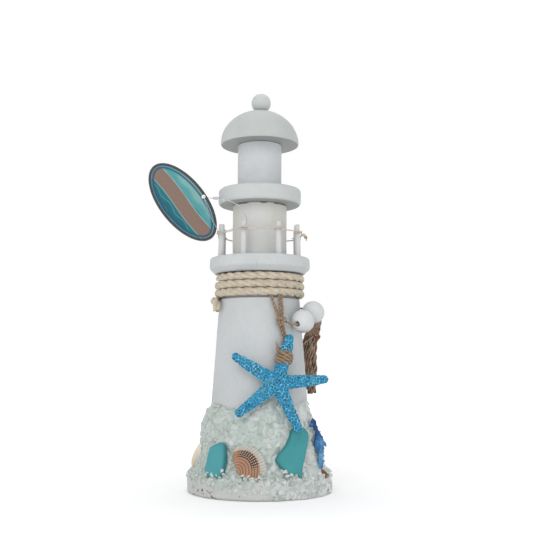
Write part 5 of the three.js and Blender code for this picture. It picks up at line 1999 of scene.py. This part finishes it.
# ------------------------------------------------------------------ card tag
TAG_LENGTH = 62.6
TAG_WIDTH = 31.0
TAG_THICKNESS = 0.9
TAG_TILT = -51.6
TAG_CENTRE = (-51.2, -14.6, 189.4)
TAG_HOLE = (5.9, 13.1)
TAG_HOLE_RADIUS = 1.35
TAG_AROUND = 256
TAG_SOFT_RIM = 0.15 / 16
TAG_SOFT_EDGE = 0.12
LOCK_AXIS = (0.86, -0.5, -0.1)
LOCK_STATIONS = [-2.5, -2.3, -1.2, -0.9, -0.6, 0.6, 0.9, 1.2, 2.3, 2.5]
LOCK_RADII = [0.35, 0.75, 0.95, 0.8, 1.1, 1.1, 0.8, 0.95, 0.75, 0.35]
NYLON_DIAMETER = 0.5
NYLON_ROUTE = [
    [-26.2, -17.9, 191.2], [-23.4, -19.9, 190.2], [-19.8, -22.4, 188.6], [-15.6, -24.6, 186.2],
    [-11.8, -26.4, 182.6], [-9.2, -27.8, 178.6], [-8.2, -29.3, 174.6], [-9.6, -31.2, 171.3],
    [-14, -29.8, 169.3], [-19.2, -24.7, 168], [-23.8, -19.8, 168.4], [-26.8, -16.7, 170],
    [-28.8, -16.2, 172.4], [-31.4, -16.2, 177], [-34, -16.2, 183.4], [-36.2, -16.2, 189.6],
    [-37.1, -15.6, 192.2], [-37.3, -14.6, 192.9], [-36.8, -13.5, 193.1], [-34.9, -13.2, 192.7],
    [-33, -13.6, 192.3], [-31.4, -14.8, 191.9],
]


def oval_edge_distance(points):
    """About how far inside the oval's rim a point of the card lies, in millimetres."""
    a, b = TAG_LENGTH / 2, TAG_WIDTH / 2
    level = np.sqrt((points[:, 0] / a) ** 2 + (points[:, 1] / b) ** 2)
    slope = np.sqrt((points[:, 0] / a ** 2) ** 2 + (points[:, 1] / b ** 2) ** 2)
    return (1 - level) * level / np.maximum(slope, 1e-6)


def tag_rings():
    """Rings of points from the hole to the oval's rim on the front, and back again behind."""
    t = np.linspace(0, 2 * math.pi, TAG_AROUND, endpoint=False)
    directions = np.column_stack([np.cos(t), np.sin(t)])
    centre = np.array(TAG_HOLE)
    hole = centre + TAG_HOLE_RADIUS * directions
    a, b = TAG_LENGTH / 2, TAG_WIDTH / 2
    qa = (directions[:, 0] / a) ** 2 + (directions[:, 1] / b) ** 2
    qb = 2 * (centre[0] * directions[:, 0] / a ** 2 + centre[1] * directions[:, 1] / b ** 2)
    qc = (centre[0] / a) ** 2 + (centre[1] / b) ** 2 - 1
    reach = (-qb + np.sqrt(qb ** 2 - 4 * qa * qc)) / (2 * qa)
    rim = centre + directions * reach[:, None]
    half = TAG_THICKNESS / 2
    flat = 1 - TAG_SOFT_RIM
    rings = [(hole + (rim - hole) * (s * flat), half) for s in np.linspace(0, 1, 40)]
    rings += [(rim, half - TAG_SOFT_EDGE), (rim, -half + TAG_SOFT_EDGE)]
    rings += [(hole + (rim - hole) * (s * flat), -half) for s in np.linspace(1, 0, 12)]
    return np.array([np.column_stack([ring, np.full(TAG_AROUND, z)]) for ring, z in rings])


def add_tag_card():
    """An oval card with softened edges and a punched hole, bowed a little along its length."""
    rings = tag_rings()
    verts = np.concatenate(rings)
    faces = [face[::-1] for face in ring_faces(len(rings), TAG_AROUND, closed=True)]
    front = (verts[:, 2] > TAG_THICKNESS / 2 - 0.01).astype(float)
    edge = oval_edge_distance(verts)
    uv = verts[:, :2].copy()
    verts[:, 2] += 0.12 * np.cos(verts[:, 0] / (TAG_LENGTH / 2) * 1.4) - 0.06
    matrix = surface_frame(0, np.array(TAG_CENTRE), 0, TAG_TILT)
    bits = Bits()
    bits.add(placed(verts, matrix), faces, uv, edge=edge, face=front)
    finished(bits.build("tag_oval_card", tag_print()), "tag", "printed_card", "tag_card")


def add_tag_loop():
    """The nylon thread through the hole and round the rail, and the lock that closes it."""
    material = nylon()
    line = catmull(NYLON_ROUTE, 0.5)
    bits = Bits()
    bits.add(*sweep(line, NYLON_DIAMETER / 2, 10))
    thread = finished(bits.build("nylon_thread", material), ROOT, "nylon", "tag_loop")

    lo, hi = box_mm("tag_lock")
    axis = np.array(LOCK_AXIS) / np.linalg.norm(LOCK_AXIS)
    along = np.linspace(LOCK_STATIONS[0], LOCK_STATIONS[-1], 60)
    path = np.array([(lo + hi) / 2 + axis * s for s in along])
    bits = Bits()
    bits.add(*sweep(path, np.interp(along, LOCK_STATIONS, LOCK_RADII), 20))
    lock = finished(bits.build("nylon_lock", material), ROOT, "nylon", "tag_lock")


# ------------------------------------------------------------------ assembly
add_camera()
jute = jute_material()
add_tag_card()
add_tag_loop()
beads = add_beads()
add_bead_string(jute)
add_hanger(jute)
add_pendant_cord(jute)
add_lashing(jute)
add_rope()
add_rail_twine()
add_turned_wood()
finish_dowels()
add_gravel()
add_sea_glass()
add_shells()
add_seahorse()
add_twig()
add_starfish()
add_tassel()
add_stage()
